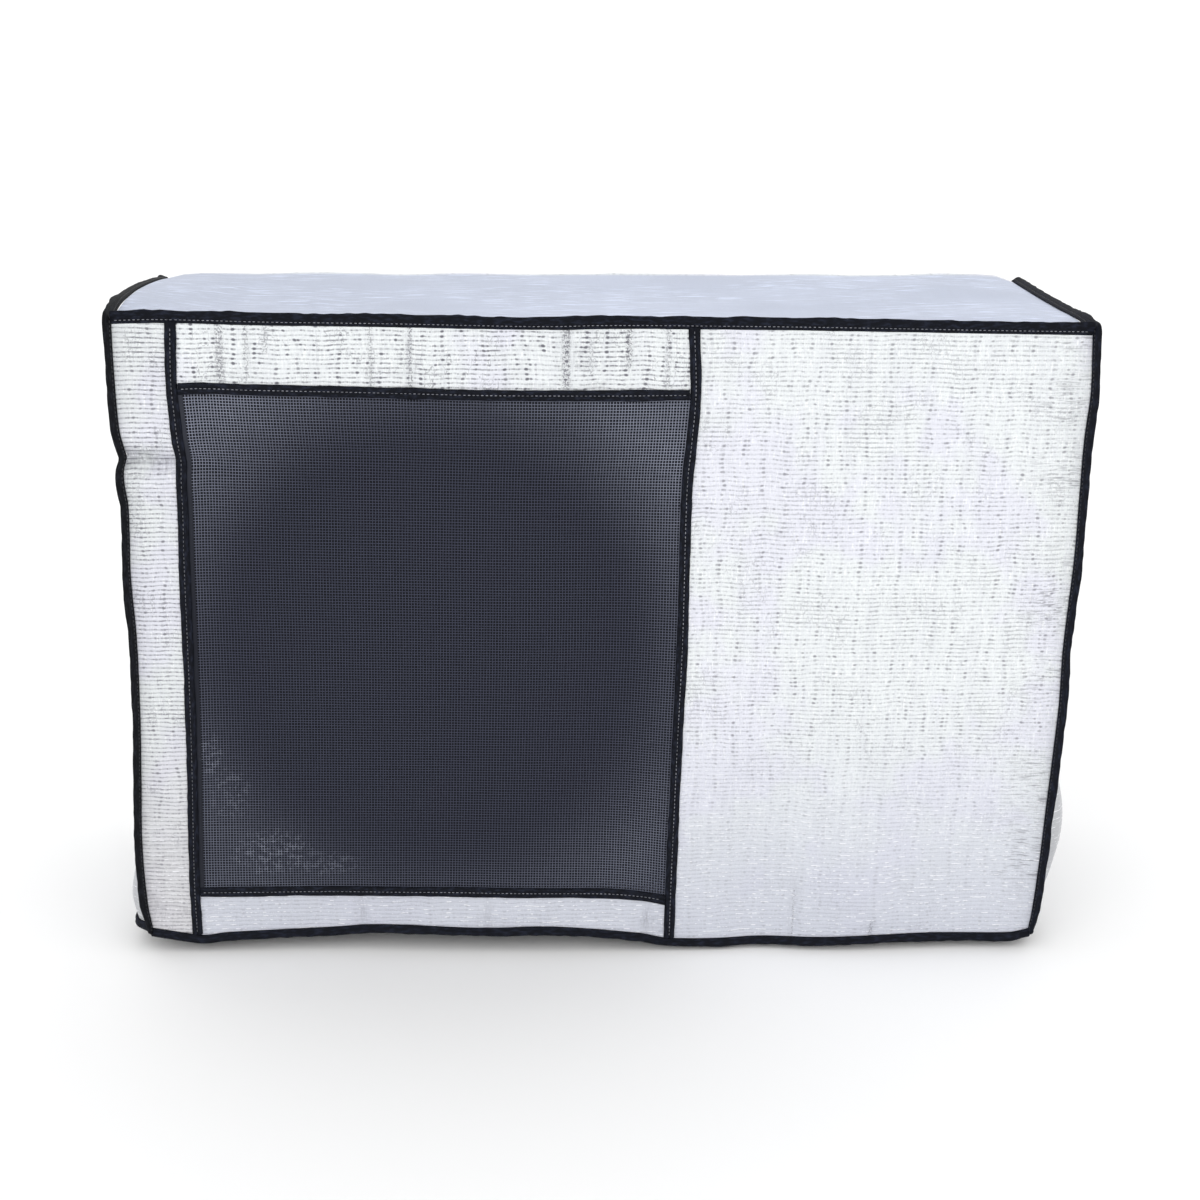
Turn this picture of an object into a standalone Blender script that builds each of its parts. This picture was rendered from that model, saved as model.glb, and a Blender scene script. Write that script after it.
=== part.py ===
"""A fitted cloth cover for the outdoor box of an air conditioner, as it hangs in use.

Silver cloth panels and a net window are joined by bound seams in black tape. The cover is open
at the bottom. Metres, +Z up, the front faces -Y. The origin is the middle of the level on which
the top panel lies, so the cloth hangs from it.
"""

import math
from collections import namedtuple

import bmesh
import bpy
from mathutils import Vector

# Driving sizes.
WIDTH = 0.824
DEPTH = 0.270
DROP = 0.566
SHEET = 0.0015
GAP = 0.0003

# The side panels' front edges lie this far behind the outside of the front.
SIDE_SETBACK = 0.0024

# Swells fade out towards the seams that hold a panel: over the top 0.1 m of a side panel, and
# over one fifth of a panel's width beside an upright edge, or a twelfth beside a front corner.
HELD_BELOW_TOP = 0.1
HELD_BESIDE_EDGE = 5
HELD_BESIDE_FRONT = 12

# Cloth rolls over the top's back edge, which has no seam.
BACK_ROLL = 0.009

# The top's side edges are held up by their stiff seams. The lift fades out over this width.
EDGE_LIFT_REACH = 0.12

# Bound seams that stand out from the corners.
EDGE_TAPE_WIDTH = 0.0094
EDGE_TAPE_THICK = 0.0030
EDGE_TAPE_ROOT = 0.0005
FRONT_LEAN = math.radians(60)
LEFT_TOP_LEAN = math.radians(0)
RIGHT_TOP_LEAN = math.radians(20)
LEAN_SETTLES_BY = 0.35
FRONT_TOP_LEAN = math.radians(20)
TURN_INSET = 0.0015
CORNER_CLEARANCE = 0.0026

# Tapes that lie flat on the front, and the tape folded over the hem.
FLAT_TAPE_WIDTH = 0.0098
FLAT_TAPE_THICK = 0.0024
HEM_TAPE_WIDTH = 0.0085
HEM_TAPE_THICK = 0.0034
TAPE_ROUND = 0.0009
SEAM_TAPE_LIFT = 0.0009
BUTT = 0.0005

# Nominal places of the seams. The tables below give how far each one strays from its line.
LEFT_CORNER = -WIDTH / 2
RIGHT_CORNER = WIDTH / 2
LEFT_SEAM_AT = -0.363
MID_SEAM_AT = 0.074
NET_TOP_AT = -0.0565
NET_BOTTOM_AT = -0.5255

Stray = namedtuple("Stray", "at by")
Fold = namedtuple("Fold", "across drop reach_across reach_down out")
Bulge = namedtuple("Bulge", "depth drop reach_depth reach_down out")

# Upright seams: distance below the top, and the shift to the right of the nominal line.
LEFT_EDGE_STRAYS = (
    Stray(0.000, 0.0028),
    Stray(0.031, 0.0023),
    Stray(0.082, 0.0031),
    Stray(0.112, 0.0076),
    Stray(0.125, 0.0048),
    Stray(0.156, 0.0067),
    Stray(0.223, 0.0046),
    Stray(0.276, 0.0061),
    Stray(0.347, 0.0048),
    Stray(0.402, 0.0023),
    Stray(0.451, -0.0007),
    Stray(0.486, -0.0019),
    Stray(0.537, -0.0007),
    Stray(0.562, 0.0023),
)
LEFT_SEAM_STRAYS = (
    Stray(0.000, 0.0024),
    Stray(0.050, 0.0005),
    Stray(0.080, 0.0018),
    Stray(0.113, 0.0044),
    Stray(0.160, 0.0040),
    Stray(0.208, 0.0025),
    Stray(0.326, 0.0006),
    Stray(0.402, -0.0013),
    Stray(0.456, -0.0034),
    Stray(0.520, -0.0055),
    Stray(0.566, -0.0055),
)
MID_SEAM_STRAYS = (
    Stray(0.000, 0.0011),
    Stray(0.054, 0.0042),
    Stray(0.095, 0.0021),
    Stray(0.138, -0.0008),
    Stray(0.276, -0.0004),
    Stray(0.376, -0.0020),
    Stray(0.520, -0.0038),
    Stray(0.570, -0.0042),
)
RIGHT_EDGE_STRAYS = (
    Stray(0.000, 0.0017),
    Stray(0.052, 0.0052),
    Stray(0.091, 0.0037),
    Stray(0.138, 0.0044),
    Stray(0.200, 0.0057),
    Stray(0.282, 0.0040),
    Stray(0.335, 0.0057),
    Stray(0.388, 0.0051),
    Stray(0.442, 0.0039),
    Stray(0.515, 0.0025),
    Stray(0.550, 0.0007),
    Stray(0.570, -0.0013),
)

# Level seams: place across the front, and the rise above the nominal line.
HEM_STRAYS = (
    Stray(-0.411, 0.0047),
    Stray(-0.375, -0.0018),
    Stray(-0.361, -0.0033),
    Stray(-0.340, -0.0005),
    Stray(-0.253, 0.0030),
    Stray(-0.196, 0.0071),
    Stray(-0.106, 0.0047),
    Stray(-0.038, 0.0060),
    Stray(0.037, -0.0012),
    Stray(0.072, -0.0078),
    Stray(0.153, -0.0082),
    Stray(0.305, -0.0047),
    Stray(0.392, -0.0047),
    Stray(0.412, 0.0001),
)
NET_BOTTOM_STRAYS = (
    Stray(-0.362, 0.0007),
    Stray(-0.144, 0.0008),
    Stray(-0.068, -0.0005),
    Stray(0.007, -0.0012),
    Stray(0.042, -0.0042),
    Stray(0.065, -0.0086),
)
NET_TOP_STRAYS = (
    Stray(-0.357, 0.0020),
    Stray(-0.337, 0.0030),
    Stray(-0.303, 0.0022),
    Stray(-0.174, 0.0000),
    Stray(-0.095, -0.0014),
    Stray(0.000, -0.0012),
    Stray(0.070, 0.0002),
)
FRONT_TOP_STRAYS = (
    Stray(-0.409, 0.0000),
    Stray(-0.370, 0.0012),
    Stray(-0.267, 0.0000),
    Stray(-0.172, -0.0005),
    Stray(-0.052, -0.0018),
    Stray(0.000, -0.0004),
    Stray(0.074, 0.0002),
    Stray(0.209, 0.0000),
    Stray(0.334, -0.0012),
    Stray(0.412, -0.0016),
)

# The top panel's other three edges. The back edge arches above a line between its corners.
BACK_EDGE_ARCH = (
    Stray(-0.412, 0.0000),
    Stray(-0.395, 0.0038),
    Stray(-0.360, 0.0057),
    Stray(-0.190, 0.0063),
    Stray(0.000, 0.0067),
    Stray(0.255, 0.0069),
    Stray(0.350, 0.0078),
    Stray(0.395, 0.0058),
    Stray(0.412, 0.0000),
)
LEFT_EDGE_HEIGHTS = (
    Stray(0.000, 0.0015),
    Stray(0.021, 0.0050),
    Stray(0.056, 0.0094),
    Stray(0.095, 0.0104),
    Stray(0.130, 0.0096),
    Stray(0.166, 0.0074),
    Stray(0.228, 0.0022),
    Stray(0.261, -0.0014),
    Stray(0.270, -0.0020),
)
RIGHT_EDGE_HEIGHTS = (
    Stray(0.000, -0.0001),
    Stray(0.050, 0.0030),
    Stray(0.120, 0.0027),
    Stray(0.190, 0.0029),
    Stray(0.250, 0.0037),
    Stray(0.270, 0.0044),
)

# Main folds of the front, soft swells out of the flat, or into it where "out" is negative.
FRONT_FOLDS = (
    Fold(-0.385, 0.098, 0.050, 0.012, 0.0045),
    Fold(-0.388, 0.118, 0.060, 0.008, -0.0050),
    Fold(-0.385, 0.138, 0.050, 0.014, 0.0035),
    Fold(-0.390, 0.400, 0.030, 0.090, 0.0030),
    Fold(-0.300, 0.030, 0.060, 0.040, 0.0025),
    Fold(-0.020, 0.030, 0.070, 0.040, -0.0020),
    Fold(-0.140, 0.290, 0.170, 0.190, 0.0035),
    Fold(-0.040, 0.560, 0.130, 0.035, 0.0040),
    Fold(-0.250, 0.550, 0.060, 0.040, -0.0030),
    Fold(0.240, 0.200, 0.120, 0.170, 0.0045),
    Fold(0.157, 0.530, 0.030, 0.090, -0.0045),
    Fold(0.235, 0.520, 0.055, 0.080, 0.0050),
    Fold(0.350, 0.530, 0.050, 0.070, -0.0025),
)

# Swells of the side panels and the back, measured from the front corner and below the top.
LEFT_BULGES = (
    Bulge(0.030, 0.550, 0.045, 0.062, 0.0195),
    Bulge(0.170, 0.330, 0.090, 0.160, 0.0060),
    Bulge(0.200, 0.545, 0.060, 0.070, -0.0060),
    Bulge(0.110, 0.120, 0.060, 0.060, -0.0035),
)
RIGHT_BULGES = (
    Bulge(0.045, 0.478, 0.060, 0.084, 0.0290),
    Bulge(0.180, 0.250, 0.090, 0.140, 0.0060),
    Bulge(0.195, 0.530, 0.055, 0.070, 0.0080),
    Bulge(0.120, 0.100, 0.060, 0.060, -0.0030),
)
BACK_FOLDS = (
    Fold(-0.250, 0.300, 0.110, 0.200, 0.0050),
    Fold(0.050, 0.480, 0.080, 0.110, -0.0040),
    Fold(0.260, 0.400, 0.110, 0.180, 0.0060),
    Fold(-0.120, 0.560, 0.060, 0.060, 0.0050),
)
TOP_FOLDS = (
    Fold(-0.240, 0.110, 0.120, 0.070, -0.0020),
    Fold(0.060, 0.150, 0.110, 0.080, -0.0028),
    Fold(0.290, 0.120, 0.100, 0.060, -0.0018),
)

# The front as a quilt: whole numbers are seam lines, fractions lie between them.
CORNER_L, SEAM_L, SEAM_M, CORNER_R = 0.0, 1.0, 2.0, 3.0
HEM_LINE, NET_LOW, NET_HIGH, TOP_LINE = 0.0, 1.0, 2.0, 3.0
STRIP_COLUMNS = (0.0, 0.12, 0.36, 0.62, 0.88)
NET_COLUMNS = 12
RIGHT_COLUMNS = 10
NET_ROWS = 16
CREASE_ROWS = (1.835, 1.850, 1.863, 1.876, 1.890, 1.905)
LOW_ROWS = (0.0, 0.45, 0.86)
HIGH_ROWS = (2.10, 2.40, 2.72, 2.88, 3.0)
TAPE_BESIDE_UPRIGHT = 0.013
TAPE_BESIDE_LEVEL = 0.0115
TOP_STEPS = (0.0, 0.04, 0.09, 0.17, 0.30, 0.46, 0.62, 0.78, 0.91, 1.0)
SIDE_STEPS = tuple(step * (1 - BACK_ROLL / DEPTH) for step in TOP_STEPS) + (1.0,)
BACK_STEPS = (0.16, 0.33, 0.50, 0.67, 0.84, 1.0)
ROLL_STEPS = 5
TURN_STEPS = 5

# Colours, linear.
SILVER = (0.78, 0.79, 0.84, 1.0)
NET_GREY = (0.10, 0.10, 0.13, 1.0)
BLACK = (0.012, 0.013, 0.020, 1.0)

COVER = "air_conditioner_cover"


def strayed(table, at):
    """Reads a table at any place, on a smooth curve through its rows."""
    if at <= table[0].at:
        return table[0].by
    if at >= table[-1].at:
        return table[-1].by
    index = 0
    while table[index + 1].at < at:
        index += 1
    before = table[max(index - 1, 0)]
    start = table[index]
    end = table[index + 1]
    after = table[min(index + 2, len(table) - 1)]
    span = end.at - start.at
    part = (at - start.at) / span
    slope_in = (end.by - before.by) / (end.at - before.at) * span
    slope_out = (after.by - start.by) / (after.at - start.at) * span
    return (
        start.by * (2 * part**3 - 3 * part**2 + 1)
        + slope_in * (part**3 - 2 * part**2 + part)
        + end.by * (3 * part**2 - 2 * part**3)
        + slope_out * (part**3 - part**2)
    )


def between(values, place):
    """Straight-line reading of a short list at a place counted in its gaps."""
    index = min(max(int(place), 0), len(values) - 2)
    return values[index] + (values[index + 1] - values[index]) * (place - index)


def swell(folds, across, drop):
    """Sum of soft round-shouldered folds at one place."""
    total = 0.0
    for fold in folds:
        side = (across - fold.across) / fold.reach_across
        down = (drop - fold.drop) / fold.reach_down
        total += fold.out * math.exp(-side * side - down * down)
    return total


def eased(value):
    value = min(max(value, 0.0), 1.0)
    return value * value * (3 - 2 * value)


def front_across(place, height):
    """Place across the front of a quilt column at this height."""
    drop = -height
    lines = (
        LEFT_CORNER + strayed(LEFT_EDGE_STRAYS, drop),
        LEFT_SEAM_AT + strayed(LEFT_SEAM_STRAYS, drop),
        MID_SEAM_AT + strayed(MID_SEAM_STRAYS, drop),
        RIGHT_CORNER + strayed(RIGHT_EDGE_STRAYS, drop),
    )
    return between(lines, place)


def front_height(place, across):
    """Height of a quilt row at this place across the front."""
    lines = (
        strayed(HEM_STRAYS, across) - DROP,
        NET_BOTTOM_AT + strayed(NET_BOTTOM_STRAYS, across),
        NET_TOP_AT + strayed(NET_TOP_STRAYS, across),
        strayed(FRONT_TOP_STRAYS, across) - GAP,
    )
    return between(lines, place)


def front_point(column, row):
    """Outside of the front cloth at a quilt place."""
    height = -DROP / 2
    for _ in range(6):
        across = front_across(column, height)
        height = front_height(row, across)
    depth = -DEPTH / 2 - swell(FRONT_FOLDS, across, -height)
    return Vector((across, depth, height))


def front_out(column, row):
    """The direction that the front cloth faces at a quilt place."""
    step = 0.01
    right = front_point(column + step, row) - front_point(column - step, row)
    up = front_point(column, row + step) - front_point(column, row - step)
    return right.cross(up).normalized()


def top_corner(side):
    """Where the front, top and side meet, on the outside of the cloth."""
    column = CORNER_L if side < 0 else CORNER_R
    corner = front_point(column, TOP_LINE)
    return Vector((corner.x, corner.y, corner.z + GAP + SHEET))


def side_line(side, depth):
    """Top panel's side edge, at a depth behind the front corner."""
    start = top_corner(side)
    part = depth / DEPTH
    across = start.x + (side * WIDTH / 2 - start.x) * eased(part)
    heights = LEFT_EDGE_HEIGHTS if side < 0 else RIGHT_EDGE_HEIGHTS
    from_front = start.z - heights[0].by
    height = strayed(heights, depth) + from_front * (1 - eased(part))
    return Vector((across, start.y + (DEPTH / 2 - start.y) * part, height))


def edge_lift(side, part):
    """Height of the top's side edge above a line between its two corners."""
    heights = LEFT_EDGE_HEIGHTS if side < 0 else RIGHT_EDGE_HEIGHTS
    line = heights[0].by + (heights[-1].by - heights[0].by) * part
    return strayed(heights, DEPTH * part) - line


def lift_fade(distance):
    return (1 - min(distance / EDGE_LIFT_REACH, 1.0)) ** 2


def top_point(column, part):
    """Outside of the top cloth, from the front edge, 0, to the back edge, 1."""
    front = front_point(column, TOP_LINE)
    share = column / CORNER_R
    left = side_line(-1, DEPTH * part)
    right = side_line(1, DEPTH * part)
    left_lift = edge_lift(-1, part)
    right_lift = edge_lift(1, part)
    across = front.x + (left.x + (right.x - left.x) * share - front.x) * part
    level_front = top_corner(-1).z + (top_corner(1).z - top_corner(-1).z) * share
    front_rise = front.z + GAP + SHEET - level_front
    left_level = left.z - left_lift
    height = left_level + (right.z - right_lift - left_level) * share
    height += left_lift * lift_fade(across - left.x) + right_lift * lift_fade(right.x - across)
    height += front_rise * (1 - part) + strayed(BACK_EDGE_ARCH, across) * part
    height += swell(TOP_FOLDS, across, DEPTH * part) * math.sin(math.pi * part)
    depth = front.y + GAP + (DEPTH / 2 - front.y - GAP) * part
    return Vector((across, depth, height))


def back_foot(column):
    """Lower edge of the back cloth."""
    share = column / CORNER_R
    left = front_point(CORNER_L, HEM_LINE).z
    right = front_point(CORNER_R, HEM_LINE).z
    return left + (right - left) * share


def top_back_point(column, part):
    """Outside of the sheet that makes the top, 0 to 1, its rolled edge, 1 to 2, and the back, 2 to 3."""
    roll_depth = BACK_ROLL / DEPTH
    if part <= 1.0:
        return top_point(column, part * (1 - roll_depth))
    start = top_point(column, 1 - roll_depth)
    end = top_point(column, 1.0)
    edge = Vector((end.x, end.y, start.z))
    if part <= 2.0:
        turn = (part - 1.0) * math.pi / 2
        depth = edge.y - BACK_ROLL + BACK_ROLL * math.sin(turn)
        height = edge.z - BACK_ROLL + BACK_ROLL * math.cos(turn)
        return Vector((edge.x, depth, height))
    height = edge.z - BACK_ROLL
    height += (back_foot(column) - height) * (part - 2.0)
    free = eased((part - 2.0) * HELD_BESIDE_EDGE)
    free *= eased(column * HELD_BESIDE_EDGE) * eased((CORNER_R - column) * HELD_BESIDE_EDGE)
    out = swell(BACK_FOLDS, edge.x, -height) * free
    return Vector((edge.x, edge.y + out, height))


def side_point(side, part, row):
    """Outside of a side panel, from its front edge, 0, to its back edge, 1."""
    column = CORNER_L if side < 0 else CORNER_R
    corner = front_point(column, row)
    foot = front_point(column, HEM_LINE)
    head = top_corner(side)
    risen = (corner.z - foot.z) / (head.z - SHEET - GAP - foot.z)
    line = side_line(side, DEPTH * part)
    height = foot.z + (line.z - SHEET - 2 * GAP - foot.z) * risen
    first = corner.y + SIDE_SETBACK
    last = DEPTH / 2 - SHEET - GAP
    into_roll = height - (side_line(side, DEPTH - BACK_ROLL).z - BACK_ROLL)
    if into_roll > 0:
        inside = BACK_ROLL - SHEET - 2 * GAP
        last = DEPTH / 2 - BACK_ROLL + math.sqrt(max(inside**2 - into_roll**2, 0.0))
    depth = min(max(corner.y + (DEPTH / 2 - corner.y) * part, first), last)
    behind = depth - corner.y
    bulges = LEFT_BULGES if side < 0 else RIGHT_BULGES
    out = 0.0
    for bulge in bulges:
        away = (behind - bulge.depth) / bulge.reach_depth
        down = (-height - bulge.drop) / bulge.reach_down
        out += bulge.out * math.exp(-away * away - down * down)
    below_top = (line.z - height) / HELD_BELOW_TOP
    free = eased(part * HELD_BESIDE_FRONT) * eased((1 - part) * HELD_BESIDE_EDGE)
    free *= eased(below_top)
    across = corner.x + (side * WIDTH / 2 - corner.x) * eased(part)
    return Vector((across + side * out * free, depth, height))


def material(name, colour, roughness, metallic):
    made = bpy.data.materials.new(name)
    made.use_nodes = True
    shader = made.node_tree.nodes["Principled BSDF"]
    shader.inputs["Base Color"].default_value = colour
    shader.inputs["Roughness"].default_value = roughness
    shader.inputs["Metallic"].default_value = metallic
    made.diffuse_color = colour
    return made


def add_object(name, mesh, finish, holder):
    """Puts a mesh in the cover's collection with its material."""
    made = bpy.data.objects.new(name, mesh)
    bpy.data.collections[COVER].objects.link(made)
    made.parent = holder
    mesh.materials.append(material(name + "_finish", *finish))
    return made


def sheet(name, columns, rows, place, finish, holder):
    """One panel of cloth: a grid laid on a surface, given its thickness towards the inside."""
    across = len(columns) - 1
    up = len(rows) - 1
    grid = bmesh.new()
    bmesh.ops.create_grid(grid, x_segments=across, y_segments=up, size=0.5)
    for vert in grid.verts:
        column = columns[round((vert.co.x + 0.5) * across)]
        row = rows[round((vert.co.y + 0.5) * up)]
        vert.co = place(column, row)
    mesh = bpy.data.meshes.new(name)
    grid.to_mesh(mesh)
    grid.free()
    made = add_object(name, mesh, finish, holder)
    wall = made.modifiers.new("cloth", "SOLIDIFY")
    wall.thickness = SHEET
    wall.offset = -1.0
    wall.use_even_offset = True
    mesh.shade_smooth()
    return made


def tape_section(start, width, thick):
    """Outline of a folded tape, as places along its width and its thickness."""
    end = start + width
    half = thick / 2
    return (
        (start + TAPE_ROUND, -half),
        (end - TAPE_ROUND, -half),
        (end, TAPE_ROUND - half),
        (end, half - TAPE_ROUND),
        (end - TAPE_ROUND, half),
        (start + TAPE_ROUND, half),
        (start, half - TAPE_ROUND),
        (start, TAPE_ROUND - half),
    )


def tape(name, stations, section, finish, holder, closed=False):
    """A tape swept along stations, each a point with its width and thickness directions.

    A grid is wrapped round the outline, then its long seam is welded and its ends are filled.
    """
    around = len(section)
    stops = list(stations) + list(stations[:1] if closed else [])
    along = len(stops) - 1
    grid = bmesh.new()
    bmesh.ops.create_grid(grid, x_segments=around, y_segments=along, size=0.5)
    for vert in grid.verts:
        wide, thick = section[round((vert.co.x + 0.5) * around) % around]
        point, width_way, thick_way = stops[round((vert.co.y + 0.5) * along)]
        vert.co = point + width_way * wide + thick_way * thick
    bmesh.ops.remove_doubles(grid, verts=grid.verts[:], dist=1e-6)
    open_edges = [edge for edge in grid.edges if edge.is_boundary]
    if open_edges:
        bmesh.ops.holes_fill(grid, edges=open_edges, sides=around)
    bmesh.ops.recalc_face_normals(grid, faces=grid.faces[:])
    mesh = bpy.data.meshes.new(name)
    grid.to_mesh(mesh)
    grid.free()
    made = add_object(name, mesh, finish, holder)
    mesh.shade_smooth()
    mesh.set_sharp_from_angle(angle=math.radians(50))
    return made


def quilt_columns():
    net = [SEAM_L + step / NET_COLUMNS for step in range(1, NET_COLUMNS)]
    right = [SEAM_M + step / RIGHT_COLUMNS for step in range(1, RIGHT_COLUMNS)]
    columns = list(STRIP_COLUMNS) + net + right
    columns += [SEAM_L, SEAM_L + TAPE_BESIDE_UPRIGHT, SEAM_M - TAPE_BESIDE_UPRIGHT]
    columns += [SEAM_M, SEAM_M + TAPE_BESIDE_UPRIGHT, CORNER_R]
    return sorted(columns)


def quilt_rows():
    net = [NET_LOW + step / NET_ROWS for step in range(1, NET_ROWS)]
    clear = [row for row in net if not CREASE_ROWS[0] < row < CREASE_ROWS[-1]]
    rows = list(LOW_ROWS) + clear + list(CREASE_ROWS) + list(HIGH_ROWS)
    rows += [NET_LOW, NET_LOW + TAPE_BESIDE_LEVEL, NET_HIGH - TAPE_BESIDE_LEVEL, NET_HIGH]
    return sorted(rows)


def cut(places, low, high):
    """The places strictly inside a stretch, with the stretch's own two ends."""
    return [low] + [place for place in places if low < place < high] + [high]


def front_panels(columns, rows, holder):
    silver = (SILVER, 0.35, 0.6)
    net = (NET_GREY, 0.8, 0.0)
    beside_left = BUTT / (MID_SEAM_AT - LEFT_SEAM_AT)
    beside_strip = BUTT / (LEFT_SEAM_AT - LEFT_CORNER)
    beside_right = BUTT / (RIGHT_CORNER - MID_SEAM_AT)
    above_low = BUTT / (NET_TOP_AT - NET_BOTTOM_AT)
    below_low = BUTT / (NET_BOTTOM_AT + DROP)
    above_high = BUTT / -NET_TOP_AT
    strip = cut(columns, CORNER_L, SEAM_L - beside_strip)
    window = cut(columns, SEAM_L + beside_left, SEAM_M - beside_left)
    right = cut(columns, SEAM_M + beside_right, CORNER_R)
    low = cut(rows, HEM_LINE, NET_LOW - below_low)
    middle = cut(rows, NET_LOW + above_low, NET_HIGH - above_low)
    high = cut(rows, NET_HIGH + above_high, TOP_LINE)
    sheet("front_left_strip", strip, rows, front_point, silver, holder)
    sheet("lower_strip", window, low, front_point, silver, holder)
    sheet("net_window", window, middle, front_point, net, holder)
    sheet("upper_strip", window, high, front_point, silver, holder)
    sheet("front_right_panel", right, rows, front_point, silver, holder)


def side_panels(rows, holder):
    silver = (SILVER, 0.35, 0.6)

    def left_place(part, row):
        return side_point(-1, 1 - part, row)

    def right_place(part, row):
        return side_point(1, part, row)

    mirrored = [1 - part for part in reversed(SIDE_STEPS)]
    sheet("side_left_panel", mirrored, rows, left_place, silver, holder)
    sheet("side_right_panel", SIDE_STEPS, rows, right_place, silver, holder)


def top_back_panel(columns, holder):
    parts = list(TOP_STEPS)
    parts += [1 + step / ROLL_STEPS for step in range(1, ROLL_STEPS + 1)]
    parts += [2 + step for step in BACK_STEPS]
    sheet("top_back_panel", columns, parts, top_back_point, (SILVER, 0.35, 0.6), holder)


def edge_frame(point, side, outward, lean):
    """A station whose tape leans between the side's outward way and the edge's outward way."""
    side_way = Vector((side, 0.0, 0.0))
    width_way = side_way * math.cos(lean) + outward * math.sin(lean)
    thick_way = outward * math.cos(lean) - side_way * math.sin(lean)
    return point, width_way, thick_way


def edge_stations(side, rows):
    """Path of one side's bound seam: up the front, along the top, over the roll, down the back."""
    column = CORNER_L if side < 0 else CORNER_R
    top_lean = LEFT_TOP_LEAN if side < 0 else RIGHT_TOP_LEAN
    stations = []
    forward = Vector((0.0, -1.0, 0.0))
    up = Vector((0.0, 0.0, 1.0))
    for row in rows[:-1]:
        corner = front_point(column, row)
        if row == HEM_LINE:
            corner.z += GAP
        stations.append(edge_frame(corner, side, forward, FRONT_LEAN))
    head = top_corner(side)
    centre = head + Vector((0.0, TURN_INSET, -TURN_INSET))
    for step in range(TURN_STEPS + 1):
        turn = step / TURN_STEPS * math.pi / 2
        outward = forward * math.cos(turn) + up * math.sin(turn)
        stations.append(edge_frame(centre + outward * TURN_INSET, side, outward, FRONT_LEAN))
    for part in TOP_STEPS[1:-1]:
        point = side_line(side, (DEPTH - BACK_ROLL) * part)
        lean = FRONT_LEAN + (top_lean - FRONT_LEAN) * eased(part / LEAN_SETTLES_BY)
        stations.append(edge_frame(point, side, up, lean))
    last = side_line(side, DEPTH - BACK_ROLL)
    backward = Vector((0.0, 1.0, 0.0))
    roll_centre = Vector((side * WIDTH / 2, DEPTH / 2 - BACK_ROLL, last.z - BACK_ROLL))
    for step in range(ROLL_STEPS + 1):
        turn = step / ROLL_STEPS * math.pi / 2
        outward = up * math.cos(turn) + backward * math.sin(turn)
        lean = top_lean + (FRONT_LEAN - top_lean) * step / ROLL_STEPS
        stations.append(edge_frame(roll_centre + outward * BACK_ROLL, side, outward, lean))
    foot = front_point(column, HEM_LINE).z + GAP
    for step in BACK_STEPS:
        height = roll_centre.z + (foot - roll_centre.z) * step
        point = Vector((side * WIDTH / 2, DEPTH / 2, height))
        stations.append(edge_frame(point, side, backward, FRONT_LEAN))
    return stations


def edge_tapes(rows, holder):
    section = tape_section(EDGE_TAPE_ROOT, EDGE_TAPE_WIDTH, EDGE_TAPE_THICK)
    black = (BLACK, 0.75, 0.0)
    tape("left_tape", edge_stations(-1, rows), section, black, holder)
    tape("right_tape", edge_stations(1, rows), section, black, holder)


def front_top_tape(columns, holder):
    """The bound seam that stands along the top of the front, between the two side tapes."""
    width_way = Vector((0.0, -math.sin(FRONT_TOP_LEAN), math.cos(FRONT_TOP_LEAN)))
    thick_way = Vector((0.0, math.cos(FRONT_TOP_LEAN), math.sin(FRONT_TOP_LEAN)))
    stations = []
    for column in columns:
        point = front_point(column, TOP_LINE) + Vector((0.0, 0.0, GAP + SHEET))
        if column == CORNER_L:
            point.x += CORNER_CLEARANCE
        if column == CORNER_R:
            point.x -= CORNER_CLEARANCE
        stations.append((point, width_way, thick_way))
    section = tape_section(EDGE_TAPE_ROOT, EDGE_TAPE_WIDTH, EDGE_TAPE_THICK)
    tape("front_top_tape", stations, section, (BLACK, 0.75, 0.0), holder)


def flat_stations(places, width_towards):
    """Stations of a tape that lies on the front cloth, just clear of it."""
    stations = []
    for column, row in places:
        out = front_out(column, row)
        point = front_point(column, row) + out * (GAP + FLAT_TAPE_THICK / 2)
        width_way = (width_towards - out * width_towards.dot(out)).normalized()
        stations.append((point, width_way, out))
    return stations


def flat_tapes(columns, rows, holder):
    black = (BLACK, 0.75, 0.0)
    section = tape_section(-FLAT_TAPE_WIDTH / 2, FLAT_TAPE_WIDTH, FLAT_TAPE_THICK)
    right = Vector((1.0, 0.0, 0.0))
    up = Vector((0.0, 0.0, 1.0))
    above_hem = HEM_LINE + SEAM_TAPE_LIFT / (NET_BOTTOM_AT + DROP)
    for name, column in (("seam_left_tape", SEAM_L), ("seam_mid_tape", SEAM_M)):
        places = [(column, row) for row in cut(rows, above_hem, TOP_LINE)]
        tape(name, flat_stations(places, right), section, black, holder)
    first = SEAM_L + (FLAT_TAPE_WIDTH / 2 + GAP) / (MID_SEAM_AT - LEFT_SEAM_AT)
    last = SEAM_M - (FLAT_TAPE_WIDTH / 2 + GAP) / (MID_SEAM_AT - LEFT_SEAM_AT)
    for name, row in (("net_bottom_tape", NET_LOW), ("net_top_tape", NET_HIGH)):
        places = [(column, row) for column in cut(columns, first, last)]
        tape(name, flat_stations(places, up), section, black, holder)


def hem_path(columns):
    """Outside of the cloth just above the hem tape, all round, from the front left corner."""
    points = [front_point(column, HEM_LINE) for column in columns]
    points += [side_point(1, part, HEM_LINE) for part in SIDE_STEPS[1:-1]]
    points += [top_back_point(column, 3.0) for column in reversed(columns)]
    points += [side_point(-1, part, HEM_LINE) for part in reversed(SIDE_STEPS[1:-1])]
    return points


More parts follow.
